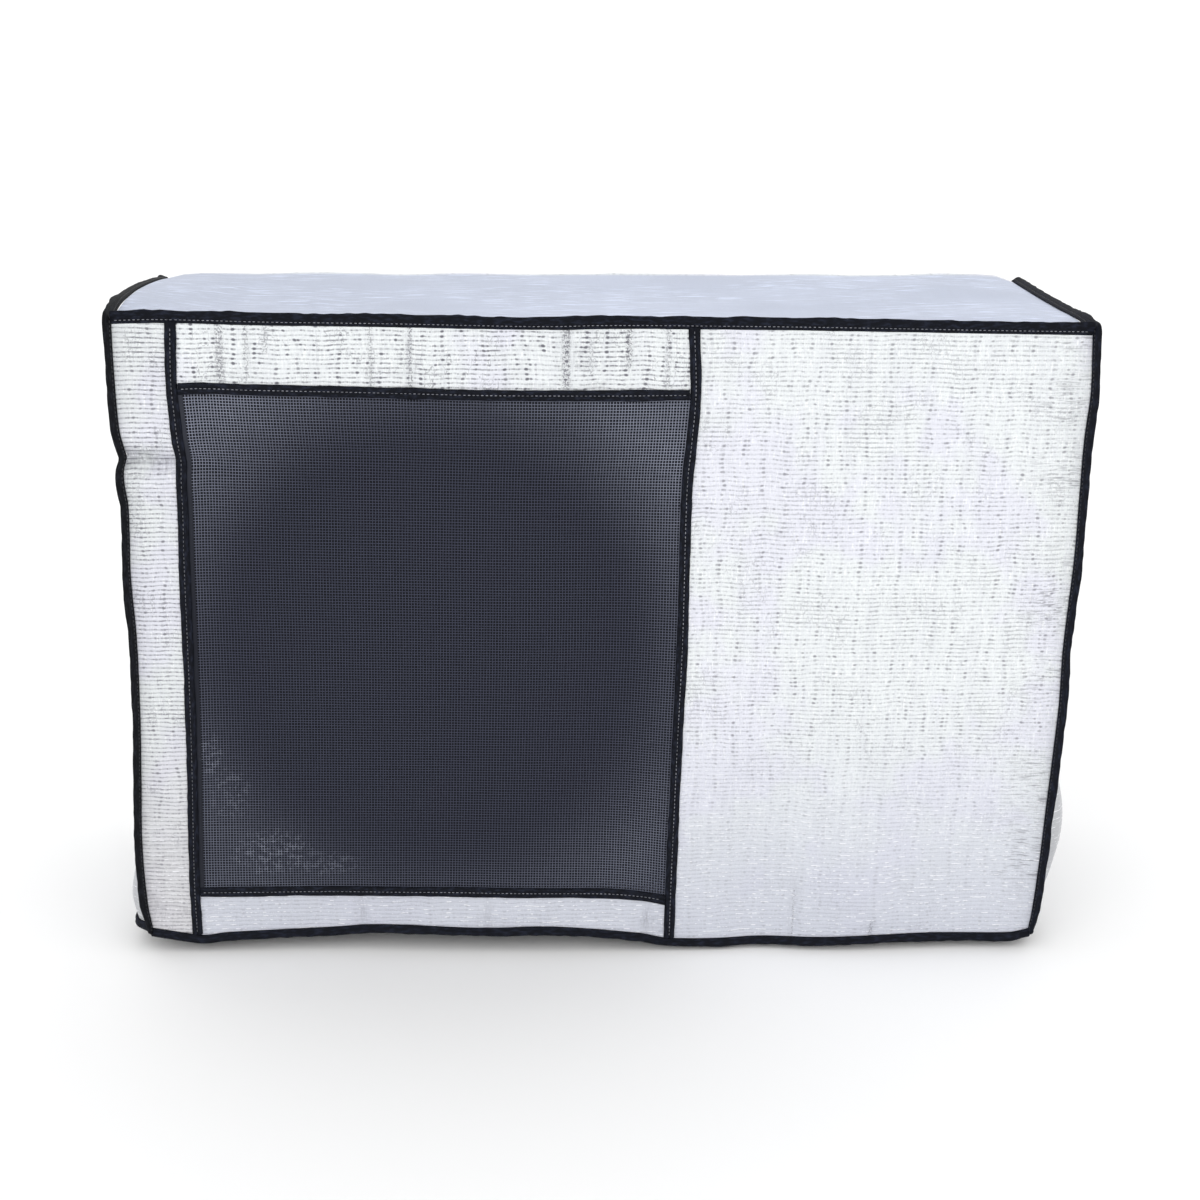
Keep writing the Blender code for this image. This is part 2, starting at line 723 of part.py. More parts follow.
def hem_tape(columns, holder):
    """The tape folded over the lower edge, one closed loop round the cover."""
    path = hem_path(columns)
    count = len(path)
    down = Vector((0.0, 0.0, -1.0))
    stations = []
    for index, point in enumerate(path):
        before = path[index - 1]
        after = path[(index + 1) % count]
        along = Vector((after.x - before.x, after.y - before.y, 0.0)).normalized()
        inward = down.cross(along)
        stations.append((point + inward * SHEET / 2, down, inward))
    section = tape_section(GAP, HEM_TAPE_WIDTH, HEM_TAPE_THICK)
    tape("hem_tape", stations, section, (BLACK, 0.75, 0.0), holder, closed=True)


def main():
    for old in list(bpy.data.objects):
        bpy.data.objects.remove(old, do_unlink=True)
    collection = bpy.data.collections.new(COVER)
    bpy.context.scene.collection.children.link(collection)
    holder = bpy.data.objects.new("cover_frame", None)
    collection.objects.link(holder)
    columns = quilt_columns()
    rows = quilt_rows()
    front_panels(columns, rows, holder)
    side_panels(rows, holder)
    top_back_panel(columns, holder)
    edge_tapes(rows, holder)
    front_top_tape(columns, holder)
    flat_tapes(columns, rows, holder)
    hem_tape(columns, holder)


main()
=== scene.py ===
"""The finished look of a fitted cloth cover for the outdoor box of an air conditioner.

Silver film cloth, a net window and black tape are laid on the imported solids. Metres, +Z up, the
front faces -Y. Run it as a script: it adds each piece with its own operator, then the stage.
"""

import math
from collections import namedtuple

import bpy
import numpy as np
from bpy.props import FloatProperty, FloatVectorProperty, IntProperty, PointerProperty
from mathutils import Matrix, Vector


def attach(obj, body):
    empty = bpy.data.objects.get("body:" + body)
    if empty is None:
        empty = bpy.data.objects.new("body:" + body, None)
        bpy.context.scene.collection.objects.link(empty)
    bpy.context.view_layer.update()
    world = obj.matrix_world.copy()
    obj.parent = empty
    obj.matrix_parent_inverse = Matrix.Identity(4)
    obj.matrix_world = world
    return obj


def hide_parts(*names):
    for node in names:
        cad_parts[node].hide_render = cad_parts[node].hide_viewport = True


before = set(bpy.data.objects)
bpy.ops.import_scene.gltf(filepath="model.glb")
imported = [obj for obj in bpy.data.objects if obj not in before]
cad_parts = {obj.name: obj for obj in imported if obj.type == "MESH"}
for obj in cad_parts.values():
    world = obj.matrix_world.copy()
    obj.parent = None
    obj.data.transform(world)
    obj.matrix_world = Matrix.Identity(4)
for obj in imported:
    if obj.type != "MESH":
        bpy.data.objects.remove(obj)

bl_info = {
    "name": "Air conditioner cover",
    "version": (1, 0, 0),
    "blender": (4, 5, 0),
    "location": "3D View > Sidebar > Cover",
    "description": "Cloth, net, tape and stitching of a fitted cover for an outdoor box",
    "category": "Object",
}

BODY = "root"
CLOTH_UV = "cloth"
FRONT_UV_FOOT = 0.64
CROWN = "crown"
CREASE = "crease"

# Sizes shared with the solids.
WIDTH = 0.824
DEPTH = 0.270
DROP = 0.566
SHEET = 0.0015
GAP = 0.0003
SIDE_CLEAR = 0.0011
HELD_BELOW_TOP = 0.1
HELD_BESIDE_EDGE = 5
HELD_BESIDE_FRONT = 12
BACK_ROLL = 0.009
EDGE_LIFT_REACH = 0.12
EDGE_TAPE_WIDTH = 0.0094
EDGE_TAPE_THICK = 0.0030
EDGE_TAPE_ROOT = 0.0005
FRONT_LEAN = math.radians(60)
LEFT_TOP_LEAN = math.radians(0)
RIGHT_TOP_LEAN = math.radians(20)
LEAN_SETTLES_BY = 0.35
FRONT_TOP_LEAN = math.radians(20)
TURN_INSET = 0.0015
FLAT_TAPE_WIDTH = 0.0098
FLAT_TAPE_THICK = 0.0024
HEM_TAPE_WIDTH = 0.0085
HEM_TAPE_THICK = 0.0034
SEAM_TAPE_LIFT = 0.0009
BUTT = 0.0005

LEFT_CORNER = -WIDTH / 2
RIGHT_CORNER = WIDTH / 2
LEFT_SEAM_AT = -0.363
MID_SEAM_AT = 0.074
NET_TOP_AT = -0.0565
NET_BOTTOM_AT = -0.5255

Stray = namedtuple("Stray", "at by")
Fold = namedtuple("Fold", "across drop reach_across reach_down out")
Bulge = namedtuple("Bulge", "depth drop reach_depth reach_down out")

# Upright seams: distance below the top, and the shift to the right of the nominal line.
LEFT_EDGE_STRAYS = (
    Stray(0.000, 0.0028),
    Stray(0.031, 0.0023),
    Stray(0.082, 0.0031),
    Stray(0.112, 0.0076),
    Stray(0.125, 0.0048),
    Stray(0.156, 0.0067),
    Stray(0.223, 0.0046),
    Stray(0.276, 0.0061),
    Stray(0.347, 0.0048),
    Stray(0.402, 0.0023),
    Stray(0.451, -0.0007),
    Stray(0.486, -0.0019),
    Stray(0.537, -0.0007),
    Stray(0.562, 0.0023),
)
LEFT_SEAM_STRAYS = (
    Stray(0.000, 0.0024),
    Stray(0.050, 0.0005),
    Stray(0.080, 0.0018),
    Stray(0.113, 0.0044),
    Stray(0.160, 0.0040),
    Stray(0.208, 0.0025),
    Stray(0.326, 0.0006),
    Stray(0.402, -0.0013),
    Stray(0.456, -0.0034),
    Stray(0.520, -0.0055),
    Stray(0.566, -0.0055),
)
MID_SEAM_STRAYS = (
    Stray(0.000, 0.0011),
    Stray(0.054, 0.0042),
    Stray(0.095, 0.0021),
    Stray(0.138, -0.0008),
    Stray(0.276, -0.0004),
    Stray(0.376, -0.0020),
    Stray(0.520, -0.0038),
    Stray(0.570, -0.0042),
)
RIGHT_EDGE_STRAYS = (
    Stray(0.000, 0.0017),
    Stray(0.052, 0.0052),
    Stray(0.091, 0.0037),
    Stray(0.138, 0.0044),
    Stray(0.200, 0.0057),
    Stray(0.282, 0.0040),
    Stray(0.335, 0.0057),
    Stray(0.388, 0.0051),
    Stray(0.442, 0.0039),
    Stray(0.515, 0.0025),
    Stray(0.550, 0.0007),
    Stray(0.570, -0.0013),
)

# Level seams: place across the front, and the rise above the nominal line.
HEM_STRAYS = (
    Stray(-0.411, 0.0047),
    Stray(-0.375, -0.0018),
    Stray(-0.361, -0.0033),
    Stray(-0.340, -0.0005),
    Stray(-0.253, 0.0030),
    Stray(-0.196, 0.0071),
    Stray(-0.106, 0.0047),
    Stray(-0.038, 0.0060),
    Stray(0.037, -0.0012),
    Stray(0.072, -0.0078),
    Stray(0.153, -0.0082),
    Stray(0.305, -0.0047),
    Stray(0.392, -0.0047),
    Stray(0.412, 0.0001),
)
NET_BOTTOM_STRAYS = (
    Stray(-0.362, 0.0007),
    Stray(-0.144, 0.0008),
    Stray(-0.068, -0.0005),
    Stray(0.007, -0.0012),
    Stray(0.042, -0.0042),
    Stray(0.065, -0.0086),
)
NET_TOP_STRAYS = (
    Stray(-0.357, 0.0020),
    Stray(-0.337, 0.0030),
    Stray(-0.303, 0.0022),
    Stray(-0.174, 0.0000),
    Stray(-0.095, -0.0014),
    Stray(0.000, -0.0012),
    Stray(0.070, 0.0002),
)
FRONT_TOP_STRAYS = (
    Stray(-0.409, 0.0000),
    Stray(-0.370, 0.0012),
    Stray(-0.267, 0.0000),
    Stray(-0.172, -0.0005),
    Stray(-0.052, -0.0018),
    Stray(0.000, -0.0004),
    Stray(0.074, 0.0002),
    Stray(0.209, 0.0000),
    Stray(0.334, -0.0012),
    Stray(0.412, -0.0016),
)

# The top panel's other three edges. The back edge arches above a line between its corners.
BACK_EDGE_ARCH = (
    Stray(-0.412, 0.0000),
    Stray(-0.395, 0.0038),
    Stray(-0.360, 0.0057),
    Stray(-0.190, 0.0063),
    Stray(0.000, 0.0067),
    Stray(0.255, 0.0069),
    Stray(0.350, 0.0078),
    Stray(0.395, 0.0058),
    Stray(0.412, 0.0000),
)
LEFT_EDGE_HEIGHTS = (
    Stray(0.000, 0.0015),
    Stray(0.021, 0.0050),
    Stray(0.056, 0.0094),
    Stray(0.095, 0.0104),
    Stray(0.130, 0.0096),
    Stray(0.166, 0.0074),
    Stray(0.228, 0.0022),
    Stray(0.261, -0.0014),
    Stray(0.270, -0.0020),
)
RIGHT_EDGE_HEIGHTS = (
    Stray(0.000, -0.0001),
    Stray(0.050, 0.0030),
    Stray(0.120, 0.0027),
    Stray(0.190, 0.0029),
    Stray(0.250, 0.0037),
    Stray(0.270, 0.0044),
)

# Main folds, soft swells out of the flat, or into it where "out" is negative.
FRONT_FOLDS = (
    Fold(-0.385, 0.098, 0.050, 0.012, 0.0045),
    Fold(-0.388, 0.118, 0.060, 0.008, -0.0050),
    Fold(-0.385, 0.138, 0.050, 0.014, 0.0035),
    Fold(-0.390, 0.400, 0.030, 0.090, 0.0030),
    Fold(-0.300, 0.030, 0.060, 0.040, 0.0025),
    Fold(-0.020, 0.030, 0.070, 0.040, -0.0020),
    Fold(-0.140, 0.290, 0.170, 0.190, 0.0035),
    Fold(-0.040, 0.560, 0.130, 0.035, 0.0040),
    Fold(-0.250, 0.550, 0.060, 0.040, -0.0030),
    Fold(0.240, 0.200, 0.120, 0.170, 0.0045),
    Fold(0.157, 0.530, 0.030, 0.090, -0.0045),
    Fold(0.235, 0.520, 0.055, 0.080, 0.0050),
    Fold(0.350, 0.530, 0.050, 0.070, -0.0025),
)
LEFT_BULGES = (
    Bulge(0.030, 0.550, 0.045, 0.062, 0.0195),
    Bulge(0.170, 0.330, 0.090, 0.160, 0.0060),
    Bulge(0.200, 0.545, 0.060, 0.070, -0.0060),
    Bulge(0.110, 0.120, 0.060, 0.060, -0.0035),
)
RIGHT_BULGES = (
    Bulge(0.045, 0.478, 0.060, 0.084, 0.0290),
    Bulge(0.180, 0.250, 0.090, 0.140, 0.0060),
    Bulge(0.195, 0.530, 0.055, 0.070, 0.0080),
    Bulge(0.120, 0.100, 0.060, 0.060, -0.0030),
)
BACK_FOLDS = (
    Fold(-0.250, 0.300, 0.110, 0.200, 0.0050),
    Fold(0.050, 0.480, 0.080, 0.110, -0.0040),
    Fold(0.260, 0.400, 0.110, 0.180, 0.0060),
    Fold(-0.120, 0.560, 0.060, 0.060, 0.0050),
)
TOP_FOLDS = (
    Fold(-0.240, 0.110, 0.120, 0.070, -0.0020),
    Fold(0.060, 0.150, 0.110, 0.080, -0.0028),
    Fold(0.290, 0.120, 0.100, 0.060, -0.0018),
)

# Narrow creases pressed into the silver cloth of the front.
FRONT_CREASES = (
    Fold(-0.321, 0.028, 0.0045, 0.030, -0.0012),
    Fold(-0.297, 0.024, 0.0040, 0.020, -0.0006),
    Fold(-0.196, 0.030, 0.0040, 0.026, -0.0007),
    Fold(-0.164, 0.028, 0.0035, 0.034, -0.0010),
    Fold(-0.032, 0.026, 0.0045, 0.030, -0.0012),
    Fold(0.021, 0.022, 0.0045, 0.020, -0.0008),
    Fold(0.186, 0.548, 0.0050, 0.030, -0.0009),
    Fold(0.260, 0.564, 0.0050, 0.010, -0.0010),
    Fold(-0.398, 0.112, 0.0200, 0.0026, -0.0022),
    Fold(-0.383, 0.118, 0.0240, 0.0030, -0.0026),
    Fold(-0.370, 0.124, 0.0120, 0.0024, -0.0016),
    Fold(-0.396, 0.130, 0.0180, 0.0026, -0.0014),
    Fold(-0.215, 0.548, 0.0050, 0.018, -0.0010),
    Fold(-0.100, 0.552, 0.0060, 0.020, -0.0008),
    Fold(0.048, 0.556, 0.0045, 0.016, -0.0014),
)

# Thin dark lines of painted shade along the creases of the film, in millimetres of the cloth's own
# coordinates.
Line = namedtuple("Line", "across foot head reach strength")
UPPER_LINES = (
    Line(111.0, 588.0, 645.0, 5.4, 0.95),
    Line(133.0, 596.0, 645.0, 3.4, 0.65),
    Line(149.0, 616.0, 645.0, 3.6, 0.75),
    Line(236.0, 585.0, 645.0, 2.4, 0.75),
    Line(269.0, 585.0, 645.0, 2.8, 0.95),
    Line(400.0, 588.0, 645.0, 5.6, 1.00),
    Line(421.0, 600.0, 630.0, 3.2, 0.60),
    Line(453.0, 606.0, 645.0, 4.4, 0.95),
    Line(486.0, 590.0, 645.0, 3.6, 0.70),
)
RIGHT_LINES = (
    Line(618.0, 62.0, 118.0, 1.2, 0.65),
    Line(692.0, 64.0, 84.0, 3.4, 0.75),
)
LOWER_LINES = (Line(502.0, 74.0, 112.0, 2.4, 0.50),)

# Crushed places of the front, where "out" is how crushed, and the lumps and lines in them; the lines also
# take painted shade.
CRUMPLES = (
    Fold(-0.388, 0.117, 0.060, 0.011, 1.0),
    Fold(-0.392, 0.470, 0.030, 0.060, 0.5),
    Fold(-0.395, 0.545, 0.030, 0.014, 0.7),
    Fold(-0.160, 0.030, 0.030, 0.040, 0.5),
    Fold(-0.030, 0.030, 0.040, 0.040, 0.6),
    Fold(-0.320, 0.030, 0.020, 0.040, 0.5),
    Fold(0.055, 0.560, 0.016, 0.020, 0.6),
)
CRUMPLE_SIZE = (0.012, 0.006)
CRUMPLE_LINE = (0.024, 0.008)
CRUMPLE_OUT = 0.0014
# Crease depth at which the painted crease shade is full.
CREASE_FULL = 0.0016

# The front as a quilt: whole numbers are seam lines, fractions lie between them.
CORNER_L, SEAM_L, SEAM_M, CORNER_R = 0.0, 1.0, 2.0, 3.0
HEM_LINE, NET_LOW, NET_HIGH, TOP_LINE = 0.0, 1.0, 2.0, 3.0

# Fineness of the modelled cloth and tape.
ROWS_A_STRIP = 4
WIDE_COLUMN = 0.0046
NARROW_COLUMN = 0.0025
TOP_COLUMN = 0.018
SIDE_COLUMN = 0.009
BACK_ROWS_A_STRIP = 3
TAPE_STEP = 0.0032
TAPE_UNEVEN = (0.065, 0.14)
TURN_STEPS = 8
MERGE = 1e-6

# The net's threads, and its own narrow hem beside the left seam.
NET_ROW_DROPS = (0.0565, 0.070, 0.0805, *np.arange(0.085, 0.1601, 0.005), *np.linspace(0.178, 0.5255, 15))
NET_COLUMNS_AT = (*np.arange(-0.363, -0.2781, 0.0085), *np.linspace(-0.258, 0.074, 16))
THREAD_FLAT = 0.00015
NET_HEM_AT = 0.0064
NET_HEM_WIDTH = 0.0044
Thread = namedtuple("Thread", "columns rows towards sunk half crown")

# Soft unevenness of the silver cloth, which dies out beside a seam.
RUMPLE_SIZE = (0.045, 0.070)
RUMPLE_OUT = 0.0011
PUCKER_SIZE = (0.013, 0.024)
PUCKER_OUT = 0.00045
SEAM_CALM = 0.014
STRIP_STRAY = 0.0010
STRIP_STRAY_SIZE = (0.018, 0.034)

# The film's finish, in millimetres: how far its strips and its lanes of dark dots waver.
WAVER = 1.8
LANE_SWAY = 12.0

# Lanes of dark dots in the film, in millimetres: pitch, strength, size, and a number of their own.
DotLane = namedtuple("DotLane", "pitch strength size other")
DOT_LANES = (
    DotLane(17.3, 1.20, 1.60, 2.0),
    DotLane(11.2, 1.00, 1.35, 21.0),
    DotLane(7.1, 0.70, 1.15, 33.0),
    DotLane(4.3, 0.45, 0.95, 47.0),
)

# Camera of the photograph's angle.
CAMERA_AT = (-0.0669, -1.633, 0.2613)
CAMERA_DOWN = math.radians(18.49)
CAMERA_YAW = math.radians(2.55)
CAMERA_ROLL = math.radians(0.997)
CAMERA_LENS = 53.93
FLOOR_LEVEL = -0.5868


# ---------------------------------------------------------------- settings


class CoverClothSettings(bpy.types.PropertyGroup):
    strip_pitch: FloatProperty(
        name="Strip pitch",
        description="Height of one woven strip of film",
        default=0.004,
        min=0.002,
        max=0.01,
        subtype="DISTANCE",
    )
    strip_depth: FloatProperty(
        name="Strip depth",
        description="Depth of the groove between two strips",
        default=0.00024,
        min=0.0,
        max=0.001,
        subtype="DISTANCE",
    )
    thickness: FloatProperty(
        name="Thickness",
        description="Thickness of the cloth",
        default=0.0009,
        min=0.0005,
        max=0.0015,
        subtype="DISTANCE",
    )
    film: FloatVectorProperty(
        name="Film",
        description="Colour of the silver film",
        default=(0.792, 0.808, 0.828),
        subtype="COLOR",
        size=3,
        min=0.0,
        max=1.0,
    )
    # Painted reflection: the top shows the same film bluer and darker, from how the light falls on it.
    top_film: FloatVectorProperty(
        name="Top film",
        description="Colour of the film on the top, which has a blue cast",
        default=(0.475, 0.520, 0.640),
        subtype="COLOR",
        size=3,
        min=0.0,
        max=1.0,
    )
    # Painted shade towards the hem, partly the film's own duller tone.
    shade: FloatVectorProperty(
        name="Shade",
        description="Colour of the film where it is duller, towards the hem",
        default=(0.535, 0.552, 0.630),
        subtype="COLOR",
        size=3,
        min=0.0,
        max=1.0,
    )
    # Painted shade towards the hem of the narrow left strip, partly the film's own duller tone.
    grey_shade: FloatVectorProperty(
        name="Grey shade",
        description="Colour of the duller film of the narrow front strip",
        default=(0.600, 0.590, 0.615),
        subtype="COLOR",
        size=3,
        min=0.0,
        max=1.0,
    )
    # Painted shade towards the hem of the side panels, which face away from the light.
    side_shade: FloatVectorProperty(
        name="Side shade",
        description="Colour of the duller film of the side panels",
        default=(0.430, 0.437, 0.455),
        subtype="COLOR",
        size=3,
        min=0.0,
        max=1.0,
    )
    # Painted shadow in the gaps between the film strips; the film's own dark dots and the painted crease
    # shade take this colour too.
    groove: FloatVectorProperty(
        name="Groove",
        description="Colour of the dark gaps between strips",
        default=(0.13, 0.13, 0.155),
        subtype="COLOR",
        size=3,
        min=0.0,
        max=1.0,
    )
    inside: FloatVectorProperty(
        name="Inside",
        description="Colour of the cloth's inner face",
        default=(0.022, 0.023, 0.030),
        subtype="COLOR",
        size=3,
        min=0.0,
        max=1.0,
    )


class CoverNetSettings(bpy.types.PropertyGroup):
    mesh_pitch: FloatProperty(
        name="Mesh pitch",
        description="Distance from one thread of the net to the next",
        default=0.00255,
        min=0.0015,
        max=0.004,
        subtype="DISTANCE",
    )
    # The dark ribbons behind the level threads are painted shade that fills the holes of the net.
    shade_ribbon_width: FloatProperty(
        name="Ribbon width",
        description="Width of the dark flat yarn behind each thread",
        default=0.0026,
        min=0.0003,
        max=0.0030,
        subtype="DISTANCE",
    )
    thread_width: FloatProperty(
        name="Thread width",
        description="Width of the pale thread in front",
        default=0.0006,
        min=0.0003,
        max=0.0015,
        subtype="DISTANCE",
    )
    thread: FloatVectorProperty(
        name="Thread",
        description="Colour of the net's threads",
        default=(0.043, 0.047, 0.072),
        subtype="COLOR",
        size=3,
        min=0.0,
        max=1.0,
    )
    dust: FloatVectorProperty(
        name="Dust",
        description="Colour of the dust on the net",
        default=(0.322, 0.345, 0.430),
        subtype="COLOR",
        size=3,
        min=0.0,
        max=1.0,
    )


class CoverTapeSettings(bpy.types.PropertyGroup):
    tape: FloatVectorProperty(
        name="Tape",
        description="Colour of the binding tape",
        default=(0.0042, 0.0050, 0.0085),
        subtype="COLOR",
        size=3,
        min=0.0,
        max=1.0,
    )
    stitch: FloatVectorProperty(
        name="Stitch",
        description="Colour of the sewing thread",
        default=(0.42, 0.43, 0.48),
        subtype="COLOR",
        size=3,
        min=0.0,
        max=1.0,
    )
    stitch_pitch: FloatProperty(
        name="Stitch pitch",
        description="Distance from one stitch to the next",
        default=0.0038,
        min=0.002,
        max=0.008,
        subtype="DISTANCE",
    )
    stitch_length: FloatProperty(
        name="Stitch length",
        description="Length of one stitch",
        default=0.0024,
        min=0.001,
        max=0.006,
        subtype="DISTANCE",
    )


class CoverStageSettings(bpy.types.PropertyGroup):
    floor: FloatVectorProperty(
        name="Floor",
        description="Colour of the floor",
        default=(0.95, 0.95, 0.95),
        subtype="COLOR",
        size=3,
        min=0.0,
        max=1.0,
    )
    sky: FloatProperty(
        name="Surround",
        description="Strength of the even light from all round",
        default=1.12,
        min=0.0,
        max=5.0,
    )
    key: FloatProperty(
        name="Key light",
        description="Strength of the soft light from the front",
        default=0.45,
        min=0.0,
        max=20.0,
    )
    seed: IntProperty(
        name="Seed",
        description="Number that the cloth's unevenness grows from",
        default=7,
        min=0,
    )


# ---------------------------------------------------------------- the cover's shape


def read(table, at):
    """Reads a table at many places, on a smooth curve through its rows."""
    places = np.array([row.at for row in table])
    values = np.array([row.by for row in table])
    slopes = np.empty(len(table))
    slopes[0] = (values[1] - values[0]) / (places[1] - places[0])
    slopes[-1] = (values[-1] - values[-2]) / (places[-1] - places[-2])
    slopes[1:-1] = (values[2:] - values[:-2]) / (places[2:] - places[:-2])
    at = np.clip(at, places[0], places[-1])
    index = np.clip(np.searchsorted(places, at) - 1, 0, len(table) - 2)
    span = places[index + 1] - places[index]
    part = (at - places[index]) / span
    return (
        values[index] * (2 * part**3 - 3 * part**2 + 1)
        + slopes[index] * span * (part**3 - 2 * part**2 + part)
        + values[index + 1] * (3 * part**2 - 2 * part**3)
        + slopes[index + 1] * span * (part**3 - part**2)
    )


def between(lines, place):
    """Straight-line reading of a short list of lines at places counted in their gaps."""
    index = np.clip(np.floor(place).astype(int), 0, len(lines) - 2)
    stacked = np.array(lines)
    along = np.arange(stacked.shape[1])
    low = stacked[index, along]
    return low + (stacked[index + 1, along] - low) * (place - index)


def eased(value):
    value = np.clip(value, 0.0, 1.0)
    return value * value * (3 - 2 * value)


def swell(folds, across, drop):
    """Sum of soft round-shouldered folds at many places."""
    total = np.zeros_like(across)
    for fold in folds:
        side = (across - fold.across) / fold.reach_across
        down = (drop - fold.drop) / fold.reach_down
        total += fold.out * np.exp(-side * side - down * down)
    return total


def stacked(x, y, z):
    return np.stack(np.broadcast_arrays(x, y, z), axis=-1).astype(float)


def front_across(column, height):
    drop = -height
    lines = (
        LEFT_CORNER + read(LEFT_EDGE_STRAYS, drop),
        LEFT_SEAM_AT + read(LEFT_SEAM_STRAYS, drop),
        MID_SEAM_AT + read(MID_SEAM_STRAYS, drop),
        RIGHT_CORNER + read(RIGHT_EDGE_STRAYS, drop),
    )
    return between(lines, column)


def front_height(row, across):
    lines = (
        read(HEM_STRAYS, across) - DROP,
        NET_BOTTOM_AT + read(NET_BOTTOM_STRAYS, across),
        NET_TOP_AT + read(NET_TOP_STRAYS, across),
        read(FRONT_TOP_STRAYS, across) - GAP,
    )
    return between(lines, row)


def even_columns(count):
    """Quilt places evenly spaced across the front."""
    lines = (LEFT_CORNER, LEFT_SEAM_AT, MID_SEAM_AT, RIGHT_CORNER)
    return np.interp(np.linspace(LEFT_CORNER, RIGHT_CORNER, count), lines, range(4))


def even_rows(count):
    """Quilt places evenly spaced up the front."""
    lines = (-DROP, NET_BOTTOM_AT, NET_TOP_AT, 0.0)
    return np.interp(np.linspace(-DROP, 0.0, count), lines, range(4))


def front_points(column, row):
    """Outside of the front cloth at quilt places."""
    column, row = (np.array(v, float) for v in np.broadcast_arrays(np.atleast_1d(column), row))
    height = np.full(column.shape, -DROP / 2)
    for _ in range(6):
        across = front_across(column, height)
        height = front_height(row, across)
    depth = -DEPTH / 2 - swell(FRONT_FOLDS, across, -height)
    return stacked(across, depth, height)


def front_outs(column, row):
    """The direction that the front cloth faces at quilt places."""
    step = 0.01
    right = front_points(column + step, row) - front_points(column - step, row)
    up = front_points(column, row + step) - front_points(column, row - step)
    out = np.cross(right, up)
    return out / np.linalg.norm(out, axis=-1, keepdims=True)


def top_corner(side):
    corner = front_points(CORNER_L if side < 0 else CORNER_R, TOP_LINE)[0]
    return corner + np.array((0.0, 0.0, GAP + SHEET))


def side_line(side, depth):
    """Top panel's side edge, at depths behind the front corner."""
    depth = np.atleast_1d(np.array(depth, float))
    start = top_corner(side)
    part = depth / DEPTH
    across = start[0] + (side * WIDTH / 2 - start[0]) * eased(part)
    heights = LEFT_EDGE_HEIGHTS if side < 0 else RIGHT_EDGE_HEIGHTS
    from_front = start[2] - heights[0].by
    height = read(heights, depth) + from_front * (1 - eased(part))
    return stacked(across, start[1] + (DEPTH / 2 - start[1]) * part, height)


def edge_lift(side, part):
    heights = LEFT_EDGE_HEIGHTS if side < 0 else RIGHT_EDGE_HEIGHTS
    line = heights[0].by + (heights[-1].by - heights[0].by) * part
    return read(heights, DEPTH * part) - line


def lift_fade(distance):
    return (1 - np.clip(distance / EDGE_LIFT_REACH, 0.0, 1.0)) ** 2


def top_points(column, part):
    """Outside of the top cloth, from the front edge, 0, to the back edge, 1."""
    column, part = (np.array(v, float) for v in np.broadcast_arrays(column, part))
    front = front_points(column, TOP_LINE)
    share = column / CORNER_R
    left = side_line(-1, DEPTH * part)
    right = side_line(1, DEPTH * part)
    left_lift = edge_lift(-1, part)
    right_lift = edge_lift(1, part)
    left_x, right_x = left[:, 0], right[:, 0]
    across = front[:, 0] + (left_x + (right_x - left_x) * share - front[:, 0]) * part
    front_left, front_right = top_corner(-1)[2], top_corner(1)[2]
    front_rise = front[:, 2] + GAP + SHEET - (front_left + (front_right - front_left) * share)
    left_level = left[:, 2] - left_lift
    height = left_level + (right[:, 2] - right_lift - left_level) * share
    height += left_lift * lift_fade(across - left_x) + right_lift * lift_fade(right_x - across)
    height += front_rise * (1 - part) + read(BACK_EDGE_ARCH, across) * part
    height += swell(TOP_FOLDS, across, DEPTH * part) * np.sin(math.pi * part)
    front_y = front[:, 1] + GAP
    return stacked(across, front_y + (DEPTH / 2 - front_y) * part, height)


def top_back_points(column, part):
    """Outside of the top, 0 to 1, its rolled edge, 1 to 2, and the back, 2 to 3."""
    column, part = (np.array(v, float) for v in np.broadcast_arrays(column, part))
    roll_depth = BACK_ROLL / DEPTH
    points = top_points(column, np.clip(part, 0.0, 1.0) * (1 - roll_depth))
    start_z = top_points(column, np.full(column.shape, 1 - roll_depth))[:, 2]
    end = top_points(column, np.ones(column.shape))
    turn = np.clip(part - 1.0, 0.0, 1.0) * math.pi / 2
    rolled = stacked(
        end[:, 0],
        end[:, 1] - BACK_ROLL + BACK_ROLL * np.sin(turn),
        start_z - BACK_ROLL + BACK_ROLL * np.cos(turn),
    )
    share = column / CORNER_R
    foot_left = front_points(CORNER_L, HEM_LINE)[0, 2]
    foot_right = front_points(CORNER_R, HEM_LINE)[0, 2]
    foot = foot_left + (foot_right - foot_left) * share
    down = np.clip(part - 2.0, 0.0, 1.0)
    height = start_z - BACK_ROLL
    height = height + (foot - height) * down
    free = eased(down * HELD_BESIDE_EDGE)
    free *= eased(column * HELD_BESIDE_EDGE) * eased((CORNER_R - column) * HELD_BESIDE_EDGE)
    hung = stacked(end[:, 0], end[:, 1] + swell(BACK_FOLDS, end[:, 0], -height) * free, height)
    on_top = (part <= 1.0)[:, None]
    on_roll = (part <= 2.0)[:, None]
    return np.where(on_top, points, np.where(on_roll, rolled, hung))


